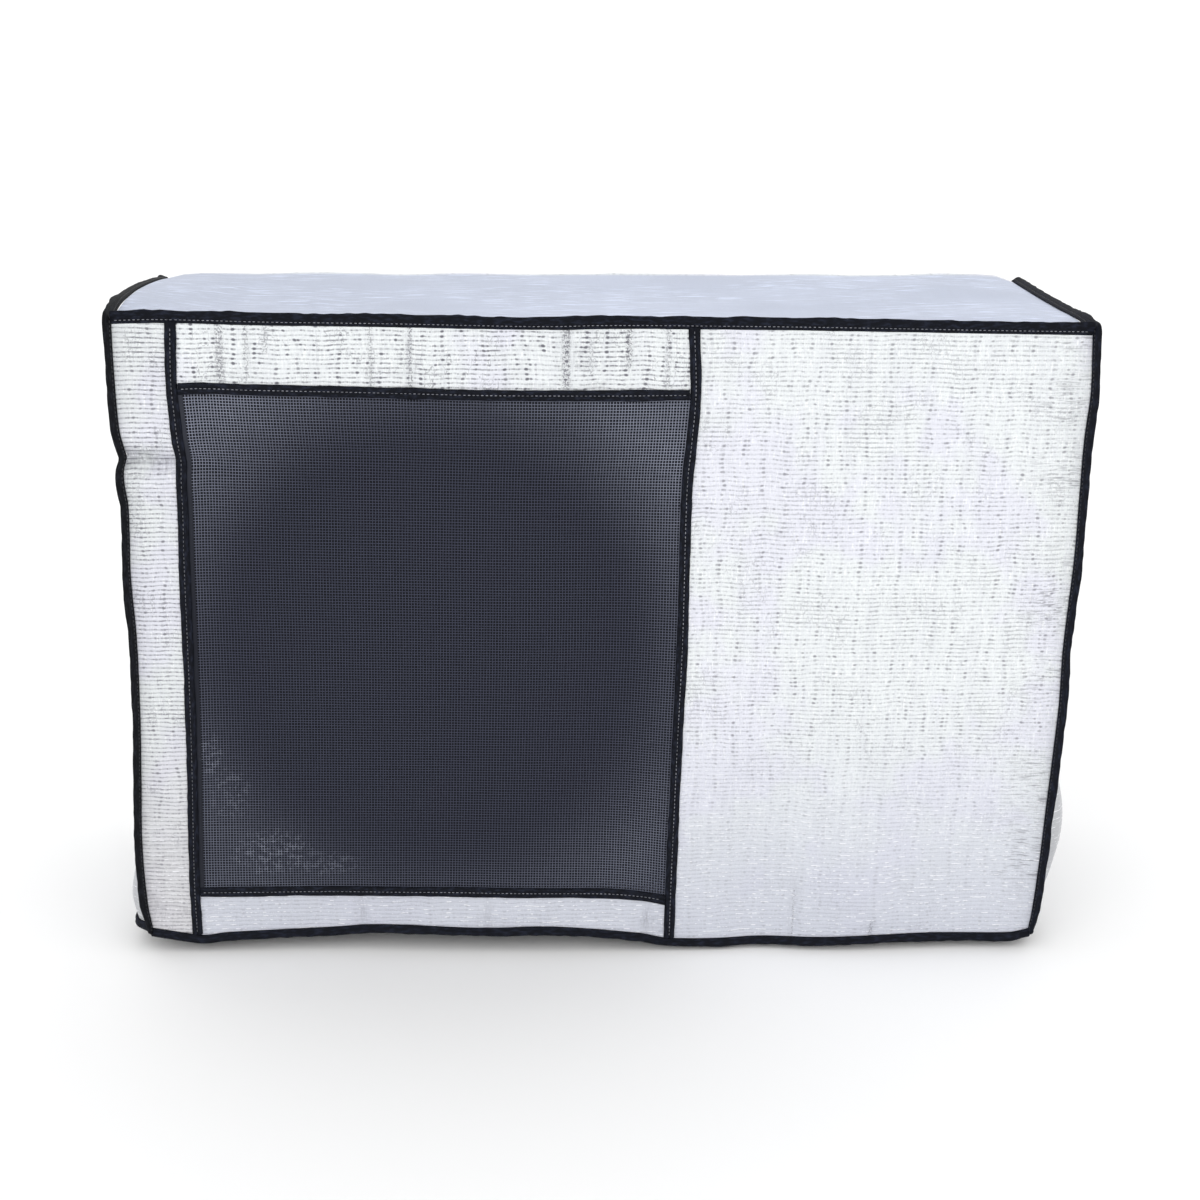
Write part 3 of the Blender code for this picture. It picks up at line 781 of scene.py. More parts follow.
def side_points(side, part, row):
    """Outside of a side panel, from its front edge, 0, to its back edge, 1."""
    part, row = (np.array(v, float) for v in np.broadcast_arrays(part, row))
    column = CORNER_L if side < 0 else CORNER_R
    corner = front_points(np.full(row.shape, column), row)
    foot = front_points(column, HEM_LINE)[0]
    head = top_corner(side)
    risen = (corner[:, 2] - foot[2]) / (head[2] - SHEET - GAP - foot[2])
    line = side_line(side, DEPTH * part)
    height = foot[2] + (line[:, 2] - SIDE_CLEAR - foot[2]) * risen
    last = np.full(part.shape, DEPTH / 2 - SIDE_CLEAR)
    into_roll = height - (side_line(side, DEPTH - BACK_ROLL)[0, 2] - BACK_ROLL)
    inside = BACK_ROLL - SIDE_CLEAR
    rolled = DEPTH / 2 - BACK_ROLL + np.sqrt(np.clip(inside**2 - into_roll**2, 0.0, None))
    last = np.where(into_roll > 0, rolled, last)
    depth = corner[:, 1] + (DEPTH / 2 - corner[:, 1]) * part
    depth = np.minimum(np.maximum(depth, corner[:, 1] + SIDE_CLEAR), last)
    behind = depth - corner[:, 1]
    out = np.zeros_like(part)
    for bulge in LEFT_BULGES if side < 0 else RIGHT_BULGES:
        away = (behind - bulge.depth) / bulge.reach_depth
        down = (-height - bulge.drop) / bulge.reach_down
        out += bulge.out * np.exp(-away * away - down * down)
    free = eased(part * HELD_BESIDE_FRONT) * eased((1 - part) * HELD_BESIDE_EDGE)
    free *= eased((line[:, 2] - height) / HELD_BELOW_TOP)
    across = corner[:, 0] + (side * WIDTH / 2 - corner[:, 0]) * eased(part)
    return stacked(across + side * out * free, depth, height)


def uneven(across, along, size, seed):
    """Smooth seeded noise from -1 to 1, with lumps of this size."""
    lattice = np.random.default_rng(seed).uniform(-1.0, 1.0, (257, 257))
    place_u = (across - across.min()) / size[0] % 256
    place_v = (along - along.min()) / size[1] % 256
    low_u, low_v = np.floor(place_u).astype(int), np.floor(place_v).astype(int)
    part_u, part_v = eased(place_u - low_u), eased(place_v - low_v)
    near = lattice[low_v, low_u] * (1 - part_u) + lattice[low_v, low_u + 1] * part_u
    far = lattice[low_v + 1, low_u] * (1 - part_u) + lattice[low_v + 1, low_u + 1] * part_u
    return near * (1 - part_v) + far * part_v


def wavering(across, along, seed):
    """How far a film strip strays along the cloth."""
    return STRIP_STRAY * uneven(across, along, STRIP_STRAY_SIZE, seed + 3)


def strip_relief(across, along, seed):
    """How far the film strips lie inside the cloth's outside, from the grooves between them."""
    cloth = bpy.context.scene.cover_cloth
    crest = np.abs(np.sin(math.pi * along / cloth.strip_pitch)) ** 0.75
    strength = 0.75 + 0.25 * uneven(across, along, (0.030, 0.012), seed)
    return -cloth.strip_depth * (1 - crest) * strength


def cloth_relief(across, along, calm, seed):
    """Strips, puckers and wider unevenness of silver cloth, along the way that it faces."""
    wide = RUMPLE_OUT * uneven(across, along, RUMPLE_SIZE, seed + 1)
    fine = PUCKER_OUT * uneven(across, along, PUCKER_SIZE, seed + 2)
    return strip_relief(across, along, seed) + (wide + fine) * calm


# ---------------------------------------------------------------- finishes


class Value:
    """A shader socket. Python's operators on it add the Math nodes."""

    def __init__(self, finish, socket):
        self.finish = finish
        self.socket = socket

    def maths(self, operation, *others):
        sockets = {0: self}
        for place, other in enumerate(others, 1):
            sockets[place] = other
        return self.finish.node("ShaderNodeMath", {"operation": operation}, sockets)

    def reflected(self, operation, other):
        return self.finish.node("ShaderNodeMath", {"operation": operation}, {0: other, 1: self})

    def __add__(self, other):
        return self.maths("ADD", other)

    def __radd__(self, other):
        return self.reflected("ADD", other)

    def __sub__(self, other):
        return self.maths("SUBTRACT", other)

    def __rsub__(self, other):
        return self.reflected("SUBTRACT", other)

    def __mul__(self, other):
        return self.maths("MULTIPLY", other)

    def __rmul__(self, other):
        return self.reflected("MULTIPLY", other)

    def __truediv__(self, other):
        return self.maths("DIVIDE", other)

    def __rtruediv__(self, other):
        return self.reflected("DIVIDE", other)

    def __pow__(self, other):
        return self.maths("POWER", other)

    def __abs__(self):
        return self.maths("ABSOLUTE")

    def floor(self):
        return self.maths("FLOOR")

    def fraction(self):
        return self.maths("FRACT")

    def most(self, other):
        return self.maths("MAXIMUM", other)

    def rises(self, low, high):
        """0 below low and 1 above high, with a soft step between. Falls where low is above high."""
        ramp = {"interpolation_type": "SMOOTHSTEP", "clamp": True}
        return self.finish.node("ShaderNodeMapRange", ramp, {"Value": self, 1: low, 2: high})


class Finish:
    """One procedural material and the ways to add nodes to it."""

    def __init__(self, name, roughness=0.5, metallic=0.0):
        self.material = bpy.data.materials.new(name)
        self.material.use_nodes = True
        self.tree = self.material.node_tree
        self.shader = self.tree.nodes["Principled BSDF"]
        self.shader.inputs["Roughness"].default_value = roughness
        self.shader.inputs["Metallic"].default_value = metallic

    def node(self, kind, settings=None, sockets=None, output=0):
        made = self.tree.nodes.new(kind)
        for key, value in (settings or {}).items():
            setattr(made, key, value)
        for key, value in (sockets or {}).items():
            if isinstance(value, Value):
                self.tree.links.new(value.socket, made.inputs[key])
            else:
                made.inputs[key].default_value = value
        return Value(self, made.outputs[output])

    def place(self, scale=1000.0):
        """The piece's own cloth coordinates, in millimetres across and along."""
        read_uv = self.node("ShaderNodeUVMap", {"uv_map": CLOTH_UV})
        scaled = self.node("ShaderNodeVectorMath", {"operation": "SCALE"}, {0: read_uv, 3: scale})
        across = self.node("ShaderNodeSeparateXYZ", None, {0: scaled}, 0)
        along = self.node("ShaderNodeSeparateXYZ", None, {0: scaled}, 1)
        return across, along

    def noise(self, across, along, other=0.0, scale=1.0, detail=2.0, roughness=0.5):
        vector = self.node("ShaderNodeCombineXYZ", None, {0: across, 1: along, 2: other})
        sockets = {"Vector": vector, "Scale": scale, "Detail": detail, "Roughness": roughness}
        return self.node("ShaderNodeTexNoise", None, sockets)

    def mix(self, factor, first, second):
        """A colour between two, each a colour or a link."""
        first = first if isinstance(first, Value) else (*first, 1.0)
        second = second if isinstance(second, Value) else (*second, 1.0)
        colours = {"data_type": "RGBA"}
        return self.node("ShaderNodeMix", colours, {0: factor, 6: first, 7: second}, 2)

    def bump(self, height, strength, distance):
        sockets = {"Height": height, "Strength": strength, "Distance": distance}
        return self.node("ShaderNodeBump", None, sockets)

    def feed(self, **links):
        """Links a value to each named input of the shader."""
        for name, value in links.items():
            self.tree.links.new(value.socket, self.shader.inputs[name.replace("_", " ")])
        return self.material


def crease_lines(finish, lines, across, along):
    """Jagged dark lines of painted shade along the film's creases."""
    wiggle = (finish.noise(along * 0.30, 0.0, 27.0, 1.0, 2.0, 0.7) - 0.5) * 8.0
    jagged = finish.noise(across * 0.75, along * 0.55, 31.0, 1.0, 1.0).rises(0.47, 0.58)
    shaded_lines = None
    for line in lines:
        beside = abs(across + wiggle - line.across).rises(line.reach, line.reach * 0.25)
        reached = along.rises(line.foot - 3, line.foot + 3) * along.rises(line.head + 3, line.head - 3)
        shaded_line = beside * reached * line.strength
        shaded_lines = shaded_line if shaded_lines is None else shaded_lines.most(shaded_line)
    return shaded_lines * (0.10 + jagged * 0.90)


def silver_finish(name, boldness, lined, shading, **differences):
    """Woven film cloth. It darkens between two places along the cloth, in millimetres: painted shade, partly
    the film's own duller tone.
    """
    shade_from, shade_to = shading
    cloth = bpy.context.scene.cover_cloth
    blue_until = differences.get("blue_until", 0.0)
    dullness = differences.get("dullness", 1.0)
    lines = differences.get("lines", ())
    fade = differences.get("fade", 0.72)
    shade = tuple(differences.get("shade", cloth.shade))
    fade_from, fade_to = differences.get("fading", (shade_from * 0.8, shade_to * 1.6))
    puckered = differences.get("puckered")
    pitch = cloth.strip_pitch * 1000
    finish = Finish(name, 0.38, 0.12)
    across, level = finish.place()
    waver = finish.noise(across * 0.13, level * 0.16, 11.0, 1.0, 2.0, 0.5)
    along = level + (waver - 0.5) * WAVER
    strip = (along / pitch + 0.5).floor()
    to_groove = (0.5 - abs((along / pitch).fraction() - 0.5)) * pitch
    groove = to_groove.rises(0.95, 0.35)
    dashes = finish.noise(across * 0.42, strip * 3.7, 0.0, 1.0, 3.0, 0.7)
    runs = finish.noise(across * 0.060, strip * 2.9, 6.0, 1.0, 2.0, 0.6).rises(0.42, 0.58)
    columns = finish.noise(across * 0.20, along * 0.012, 9.0, 1.0, 2.0, 0.6)
    crowded = finish.noise(across * 0.022, along * 0.022, 4.0, 1.0, 2.0, 0.55)
    broken = (dashes * 0.55 + columns * 0.35 + crowded * 0.35).rises(0.58, 0.72)
    sway = finish.noise(across * 0.010, along * 0.030, 17.0, 1.0, 2.0)
    # Painted shadow in the gaps between strips, then the film's own lanes of dark dots.
    dark = groove * (lined + runs * 0.16 + broken * 0.50)
    for pitch_across, strength, size, other in DOT_LANES:
        lane = across / pitch_across + sway * 1.2 * LANE_SWAY / pitch_across
        astray = (finish.noise(strip * 9.1, lane.floor() * 5.7, other, 1.0, 0.0) - 0.5) * 2.6
        from_lane = ((lane.fraction() - 0.5) * pitch_across + astray) * 0.6
        from_dot = (from_lane * from_lane + to_groove * to_groove) ** 0.5
        stack = finish.noise(strip * 0.30, lane.floor() * 7.3, other, 1.0, 1.0)
        single = finish.noise(strip * 5.3, lane.floor() * 3.1, other, 1.0, 0.0)
        shown = stack.rises(0.36, 0.52) * (0.10 + single.rises(0.30, 0.66) * 0.78)
        dark = dark.most(from_dot.rises(size, size * 0.3) * shown * strength)
    tangle = finish.noise(across * 0.060, along * 0.030, 14.0, 1.0, 3.0, 0.7)
    squiggles = abs(tangle - 0.5).rises(0.012, 0.002) * crowded.rises(0.48, 0.60) * 0.5
    lower_down = along.rises(fade_from, fade_to)
    weaker = 1 - lower_down * fade
    dark = dark.most(squiggles) * weaker * boldness
    # Painted shade in the creases and crushed folds, from the crease attribute.
    creased = finish.node("ShaderNodeAttribute", {"attribute_name": CREASE}, None, 2)
    dark = dark.most(creased * (0.06 + dashes.rises(0.36, 0.60) * 0.42))
    if lines:
        dark = dark.most(crease_lines(finish, lines, across, along) * 0.85)
    # Dark ribs in a band beside the right edge: painted shade in the small puckers there.
    if puckered:
        ribs = finish.noise(across * 0.055, along * 0.62, 37.0, 1.0, 2.0, 0.55).rises(0.53, 0.64)
        lumps = finish.noise(along * 0.016, 0.0, 39.0, 1.0, 1.0).rises(0.44, 0.56)
        dark = dark.most(across.rises(*puckered) * ribs * (0.16 + lumps * 0.46))
    ripples = finish.noise(across * 0.85, strip * 4.1, 8.0, 1.0, 1.0)
    shine = finish.noise(across * 0.30, along * 0.55, 7.0, 1.0, 3.0, 0.65)
    patches = finish.noise(across * 0.008, along * 0.007, 3.0, 1.0, 3.0, 0.6)
    film = tuple(part * dullness for part in cloth.film)
    cool = tuple(part * tint for part, tint in zip(film, (0.965, 0.955, 1.02)))
    warm = tuple(part * tint for part, tint in zip(film, (1.00, 1.02, 1.00)))
    colour = finish.mix(patches.rises(0.40, 0.50), cool, warm)
    # Painted reflections of the crinkled film: greyer patches, ripples and upright bands of painted shade,
    # and glints of painted highlight.
    colour = finish.mix(shine.rises(0.54, 0.32) * 0.35, colour, (0.56, 0.57, 0.63))
    colour = finish.mix(ripples.rises(0.62, 0.36) * 0.26, colour, (0.60, 0.61, 0.66))
    bands = finish.noise(across * 0.10, along * 0.004, 43.0, 1.0, 2.0, 0.6)
    colour = finish.mix(bands.rises(0.52, 0.42) * 0.14, colour, (0.62, 0.63, 0.69))
    glints = finish.noise(across * 0.55, strip * 6.1, 19.0, 1.0, 2.0, 0.6)
    colour = finish.mix(glints.rises(0.56, 0.70) * 0.6, colour, (0.94, 0.95, 0.96))
    # Painted shade towards the hem, partly the film's own duller tone.
    colour = finish.mix(along.rises(shade_from, shade_to) * 0.85, colour, shade)
    # Painted highlight along the upper edge of each strip, stronger towards the hem.
    beside_groove = abs((along / pitch).fraction() - 0.24) * pitch
    lit_runs = finish.noise(across * 0.14, strip * 5.7, 23.0, 1.0, 2.0, 0.6).rises(0.52, 0.62)
    lit = beside_groove.rises(0.65, 0.15) * lit_runs * (0.15 + lower_down * 0.70)
    colour = finish.mix(lit, colour, (0.93, 0.94, 0.97))
    # The top: the same film in painted reflection, bluer and darker, with pale streaks of painted highlight,
    # darker towards the left.
    if blue_until:
        on_top = along.rises(blue_until, blue_until - 12.0)
        streaks = finish.noise(across * 0.028, along * 0.75, 5.0, 1.0, 2.0, 0.5)
        most_streaks = finish.noise(across * 0.006, along * 0.010, 8.0, 1.0, 1.0)
        blue = tuple(cloth.top_film)
        pale = tuple(part * 1.45 for part in blue)
        dull = tuple(part * 0.94 for part in blue)
        left_way = across.rises(520.0, 60.0) * 0.7
        top = finish.mix(patches.rises(0.42, 0.58), dull, blue)
        top = finish.mix(left_way, top, tuple(part * 0.87 for part in blue))
        top = finish.mix(streaks.rises(0.55, 0.64) * most_streaks.rises(0.36, 0.56), top, pale)
        colour = finish.mix(on_top, colour, top)
        dark = dark * (1 - on_top * 0.90)
    # All the dark takes the groove colour: painted shadow in the gaps and creases, and the film's own dots
    # and squiggles.
    colour = finish.mix(dark, colour, tuple(cloth.groove))
    crinkle = finish.noise(across * 0.25, along * 0.9, 1.0, 1.0, 4.0, 0.65)
    creases = finish.noise(across * 0.9, along * 0.25, 6.0, 1.0, 2.0, 0.5)
    height = crinkle * 0.7 + creases * 0.3 + ripples * 0.2 - groove * 0.25
    normal = finish.bump(height, 0.6, 0.0007)
    return finish.feed(Base_Color=colour, Normal=normal, Roughness=0.28 + shine * 0.28)


def inside_finish(name):
    """The dull inner face of the silver cloth."""
    finish = Finish(name, 0.8)
    finish.shader.inputs["Specular IOR Level"].default_value = 0.1
    across, along = finish.place()
    grain = finish.noise(across * 0.8, along * 0.8, 0.0, 1.0, 2.0)
    inside = tuple(bpy.context.scene.cover_cloth.inside)
    paler = tuple(part * 1.5 for part in inside)
    colour = finish.mix(grain, inside, paler)
    return finish.feed(Base_Color=colour, Normal=finish.bump(grain, 0.3, 0.0004))


# Flecked dust on the net, in millimetres from its lower left corner.
Smudge = namedtuple("Smudge", "across up reach_across reach_up strength")
SMUDGES = (
    Smudge(14, 138, 14, 26, 0.55),
    Smudge(28, 98, 26, 34, 0.42),
    Smudge(64, 40, 46, 28, 0.60),
    Smudge(112, 28, 40, 16, 0.40),
    Smudge(415, 90, 30, 110, 0.15),
)
def patches_of(smudges, across, up):
    """The strongest of soft round patches."""
    total = None
    for smudge in smudges:
        side = (across - smudge.across) / smudge.reach_across
        rise = (up - smudge.up) / smudge.reach_up
        near = (side * side + rise * rise).rises(1.3, 0.1) * smudge.strength
        total = near if total is None else total.most(near)
    return total


def net_finish(name):
    net = bpy.context.scene.cover_net
    finish = Finish(name, 0.75)
    finish.shader.inputs["Specular IOR Level"].default_value = 0.15
    across, along = finish.place()
    flecks = finish.noise(across * 0.16, along * 0.16, 0.0, 1.0, 4.0, 0.7)
    thin = finish.noise(across * 0.5, along * 0.5, 3.0, 1.0, 2.0)
    drift = finish.noise(across * 0.010, along * 0.010, 5.0, 1.0, 3.0, 0.6)
    outward = ((across - 215.0) / 230.0) ** 2 + ((along - 240.0) / 250.0) ** 2
    veiled = outward.rises(0.50, 1.40) * (0.30 + along.rises(60.0, 440.0) * 0.34) * (0.5 + drift)
    flecked = patches_of(SMUDGES, across, along) * flecks.rises(0.40, 0.62)
    dusty = flecked.most(veiled * (0.6 + flecks * 0.8))
    thread = tuple(net.thread)
    # Crown 0 gives the dark ribbons, painted shade in the net's holes; crown 0.1 gives the net's own dark
    # hem.
    edge = tuple(part * 0.16 for part in thread)
    paler = tuple(part * 1.35 for part in thread)
    crown = finish.node("ShaderNodeAttribute", {"attribute_name": CROWN}, None, 2)
    colour = finish.mix(thin, thread, paler)
    colour = finish.mix(dusty, colour, tuple(net.dust))
    colour = finish.mix(crown, edge, colour)
    return finish.feed(Base_Color=colour, Normal=finish.bump(thin, 0.3, 0.0003))


def tape_finish(name, tint=(1.0, 1.0, 1.0)):
    """Ribbed black binding tape, with lighter patches of painted sheen."""
    finish = Finish(name, 0.62)
    finish.shader.inputs["Specular IOR Level"].default_value = 0.10
    across, along = finish.place()
    ribs = abs((along / 0.85).fraction() - 0.5)
    cross_ribs = abs((across / 0.7).fraction() - 0.5)
    wear_and_sheen = finish.noise(across * 0.35, along * 0.12, 0.0, 1.0, 3.0, 0.6)
    base = tuple(part * share for part, share in zip(bpy.context.scene.cover_tape.tape, tint))
    painted_sheen = tuple(part * 3.6 for part in base)
    # Lighter patches of painted sheen; the same noise also shapes the bump and the roughness.
    colour = finish.mix(wear_and_sheen.rises(0.44, 0.70), base, painted_sheen)
    height = ribs * 0.6 + cross_ribs * 0.3 + wear_and_sheen * 0.6
    normal = finish.bump(height, 0.5, 0.0004)
    return finish.feed(Base_Color=colour, Normal=normal, Roughness=0.55 + wear_and_sheen * 0.25)


def stitch_finish(name, paleness):
    finish = Finish(name, 0.6)
    position = finish.node("ShaderNodeTexCoord", None, None, 3)
    twist = finish.node("ShaderNodeTexNoise", None, {"Vector": position, "Scale": 420.0})
    thread = tuple(part * paleness for part in bpy.context.scene.cover_tape.stitch)
    dim = tuple(part * 0.45 for part in thread)
    return finish.feed(Base_Color=finish.mix(twist.rises(0.35, 0.6), dim, thread))


def floor_finish(name):
    finish = Finish(name, 0.9)
    position = finish.node("ShaderNodeTexCoord", None, None, 3)
    grain = finish.node("ShaderNodeTexNoise", None, {"Vector": position, "Scale": 3.0})
    pale = tuple(bpy.context.scene.cover_stage.floor)
    dimmer = tuple(part * 0.99 for part in pale)
    return finish.feed(Base_Color=finish.mix(grain, pale, dimmer))


# ---------------------------------------------------------------- making pieces


def deselect():
    if bpy.context.mode != "OBJECT":
        bpy.ops.object.mode_set(mode="OBJECT")
    bpy.ops.object.select_all(action="DESELECT")


def act_on(piece):
    deselect()
    piece.select_set(True)
    bpy.context.view_layer.objects.active = piece


def tidy_mesh(piece, fill=False, recalculate=False):
    """Welds points that lie together, and closes open ends if asked."""
    act_on(piece)
    bpy.ops.object.mode_set(mode="EDIT")
    bpy.ops.mesh.select_all(action="SELECT")
    bpy.ops.mesh.remove_doubles(threshold=MERGE)
    if fill:
        bpy.ops.mesh.select_all(action="SELECT")
        bpy.ops.mesh.fill_holes(sides=0)
    if recalculate:
        bpy.ops.mesh.select_all(action="SELECT")
        bpy.ops.mesh.normals_make_consistent(inside=False)
    bpy.ops.object.mode_set(mode="OBJECT")


def grid_piece(name, across, up):
    """A plain grid, and each point's step across and up."""
    deselect()
    bpy.ops.mesh.primitive_grid_add(x_subdivisions=across, y_subdivisions=up, size=1.0)
    piece = bpy.context.active_object
    piece.name = name
    piece.data.name = name
    mesh = piece.data
    count = len(mesh.vertices)
    if count != (across + 1) * (up + 1):
        raise RuntimeError(f"{name}: the grid has {count} points")
    flat = np.empty(count * 3)
    mesh.vertices.foreach_get("co", flat)
    flat = flat.reshape(-1, 3)
    steps_across = np.rint((flat[:, 0] + 0.5) * across).astype(int)
    steps_up = np.rint((flat[:, 1] + 0.5) * up).astype(int)
    return piece, steps_across, steps_up


def lay(piece, points, across, along):
    """Puts the grid's points in place and writes the cloth coordinates of each."""
    mesh = piece.data
    mesh.vertices.foreach_set("co", points.astype(np.float32).ravel())
    layer = mesh.uv_layers[0]
    layer.name = CLOTH_UV
    corner_points = np.empty(len(mesh.loops), np.int32)
    mesh.loops.foreach_get("vertex_index", corner_points)
    uv = np.stack([across, along], axis=-1)[corner_points]
    layer.data.foreach_set("uv", uv.astype(np.float32).ravel())
    mesh.update()


def add_body(piece, nodes, materials):
    """Gives a finished piece its materials, its body and the solids that it stands for."""
    for material in materials:
        piece.data.materials.append(material)
    act_on(piece)
    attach(piece, BODY)
    if nodes:
        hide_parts(*nodes)
    return piece


def thicken(piece, thickness):
    """Gives a sheet its thickness towards the inside, with the inner face in its own finish."""
    wall = piece.modifiers.new("cloth", "SOLIDIFY")
    wall.thickness = thickness
    wall.offset = -1.0
    wall.material_offset = 1
    act_on(piece)
    bpy.ops.object.modifier_apply(modifier=wall.name)
    bpy.ops.object.shade_smooth_by_angle(angle=math.radians(60))


def spaced(length, step):
    return max(2, int(round(length / step)))


def crumpled(across, height, seed):
    """Sharp unevenness of the crushed places, and how deep in a crease each point lies, 0 to 1, which sets
    its painted shade.
    """
    mask = np.clip(swell(CRUMPLES, across, -height), 0.0, 1.0)
    rough = uneven(across, height, CRUMPLE_SIZE, seed + 4)
    ridged = 1 - 2 * np.abs(uneven(across, height, CRUMPLE_LINE, seed + 5))
    creased = swell(FRONT_CREASES, across, -height)
    relief = creased + CRUMPLE_OUT * mask * (rough - np.clip(ridged, 0.0, 1.0))
    depth = np.clip(-creased / CREASE_FULL, 0.0, 1.0)
    depth = np.maximum(depth, mask * np.clip(ridged, 0.0, 1.0) ** 2)
    return relief, depth


def front_sheet(name, columns, low_row, high_row, seed, material, inside, step):
    """A silver panel of the front. Its strips lie level, and the seams cut across them."""
    cloth = bpy.context.scene.cover_cloth
    row_step = cloth.strip_pitch / ROWS_A_STRIP
    middle = front_points(np.linspace(columns[0], columns[1], 9), low_row)
    lowest = math.floor(middle[:, 2].min() / row_step - 1) * row_step
    top = front_points(np.linspace(columns[0], columns[1], 9), high_row)
    highest = math.ceil(top[:, 2].max() / row_step + 1) * row_step
    up = int(round((highest - lowest) / row_step))
    width = abs(middle[-1, 0] - middle[0, 0])
    across_count = spaced(width, step)
    piece, step_across, step_up = grid_piece(name + "_cloth", across_count, up)
    column = columns[0] + (columns[1] - columns[0]) * step_across / across_count
    level = lowest + step_up * row_step
    height = level.copy()
    for _ in range(8):
        across = front_across(column, height)
        low = front_height(np.full(column.shape, low_row), across)
        high = front_height(np.full(column.shape, high_row), across)
        height = np.clip(level, low, high)
    across = front_across(column, height)
    edge_left = front_across(np.full(column.shape, columns[0]), height)
    edge_right = front_across(np.full(column.shape, columns[1]), height)
    calm = eased((across - edge_left) / SEAM_CALM) * eased((edge_right - across) / SEAM_CALM)
    calm *= eased((height - low) / SEAM_CALM) * eased((high - height) / SEAM_CALM)
    along = height + wavering(across, height, seed)
    sharp, creased = crumpled(across, height, seed)
    relief = cloth_relief(across, along, calm, seed) + sharp
    depth = -DEPTH / 2 - swell(FRONT_FOLDS, across, -height) - relief
    lay(piece, stacked(across, depth, height), across + WIDTH / 2 + 0.02, along + FRONT_UV_FOOT)
    # The crease attribute sets how much painted shade each point takes.
    piece.data.attributes.new(CREASE, "FLOAT", "POINT").data.foreach_set("value", creased)
    tidy_mesh(piece)
    add_body(piece, [name], [material, inside])
    thicken(piece, cloth.thickness)
    return piece


def swept(name, points, wide, thick, outline, nodes, material, closed=False, seed=0):
    """A folded tape: an outline swept along stations, a little uneven as sewn."""
    around = len(outline)
    count = len(points)
    along_steps = count if closed else count - 1
    piece, step_around, step_along = grid_piece(name, around, along_steps)
    index = step_along % count
    turn = step_around % around
    gaps = np.linalg.norm(np.diff(np.vstack([points, points[:1]]), axis=0), axis=1)
    travelled = np.concatenate([[0.0], np.cumsum(gaps)])
    along = travelled[step_along]
    level = np.zeros(count)
    lumps = uneven(travelled[:count], level, (0.021, 1.0), seed + 31)
    waist = uneven(travelled[:count], level, (0.024, 1.0), seed + 47)
    waist += 0.8 * uneven(travelled[:count], level, (0.007, 1.0), seed + 53)
    if closed:
        blend = eased(np.linspace(0.0, 1.0, count) * 12) * eased(np.linspace(1.0, 0.0, count) * 12)
        lumps, waist = lumps * blend, waist * blend
    shape = np.array(outline)
    wide_at = shape[turn, 0] * (1 + TAPE_UNEVEN[0] * waist[index])
    thick_at = shape[turn, 1] * (1 + TAPE_UNEVEN[1] * lumps[index])
    placed = points[index] + wide[index] * wide_at[:, None] + thick[index] * thick_at[:, None]
    run = np.linalg.norm(np.diff(np.vstack([shape, shape[:1]]), axis=0), axis=1)
    round_about = np.concatenate([[0.0], np.cumsum(run)])
    lay(piece, placed, round_about[step_around], along)
    tidy_mesh(piece, fill=not closed, recalculate=True)
    add_body(piece, nodes, [material])
    bpy.ops.object.shade_smooth_by_angle(angle=math.radians(65))
    return piece


def outline_of(start, width, thick, stations):
    """A symmetric outline from shares of the width, each with its share of the half thickness."""
    half = thick / 2
    lower = [(start + width * at, -half * share) for at, share in stations]
    upper = [(start + width * at, half * share) for at, share in reversed(stations)]
    return lower + upper


EDGE_SHAPE = (
    (0.00, 0.55),
    (0.07, 0.80),
    (0.18, 0.84),
    (0.29, 0.60),
    (0.40, 0.88),
    (0.60, 1.00),
    (0.80, 0.94),
    (0.94, 0.66),
    (1.00, 0.26),
)
EDGE_GROOVE = 0.29
WRAP = 0.0024
FLAT_SHAPE = (
    (-0.50, 0.20),
    (-0.45, 0.62),
    (-0.33, 0.90),
    (-0.18, 0.97),
    (-0.07, 0.84),
    (0.00, 0.64),
    (0.07, 0.84),
    (0.18, 0.97),
    (0.33, 0.90),
    (0.45, 0.62),
    (0.50, 0.20),
)
HEM_SHAPE = (
    (0.00, 0.58),
    (0.10, 0.78),
    (0.26, 0.76),
    (0.38, 0.62),
    (0.50, 0.92),
    (0.68, 1.00),
    (0.84, 0.86),
    (0.95, 0.56),
    (1.00, 0.20),
)
HEM_GROOVE = 0.38

# The lower ends of the edge tapes: steps, drop, shares of the width, and how far they clear the hem.
END_STEPS = 7
END_TAPER = 9
END_DROP = 0.0056
END_MOST = 0.62
END_LEAST = 0.20
END_CLEAR = 0.0010


def edge_outline():
    return outline_of(EDGE_TAPE_ROOT, EDGE_TAPE_WIDTH, EDGE_TAPE_THICK, EDGE_SHAPE)


def wrapping_outline():
    width = EDGE_TAPE_WIDTH + WRAP
    return outline_of(EDGE_TAPE_ROOT - WRAP, width, EDGE_TAPE_THICK, EDGE_SHAPE)


def flat_outline():
    under = [(FLAT_TAPE_WIDTH * 0.46, 0.0), (-FLAT_TAPE_WIDTH * 0.46, 0.0)]
    upper = [(FLAT_TAPE_WIDTH * at, FLAT_TAPE_THICK * share) for at, share in FLAT_SHAPE]
    return upper + under


def hem_outline():
    return outline_of(GAP, HEM_TAPE_WIDTH, HEM_TAPE_THICK, HEM_SHAPE)


def leaning(side, outward, lean):
    """Width and thickness directions of a seam that leans from the side way to the outward way."""
    side_way = np.array((side, 0.0, 0.0))
    cos, sin = np.cos(lean)[:, None], np.sin(lean)[:, None]
    return side_way * cos + outward * sin, outward * cos - side_way * sin


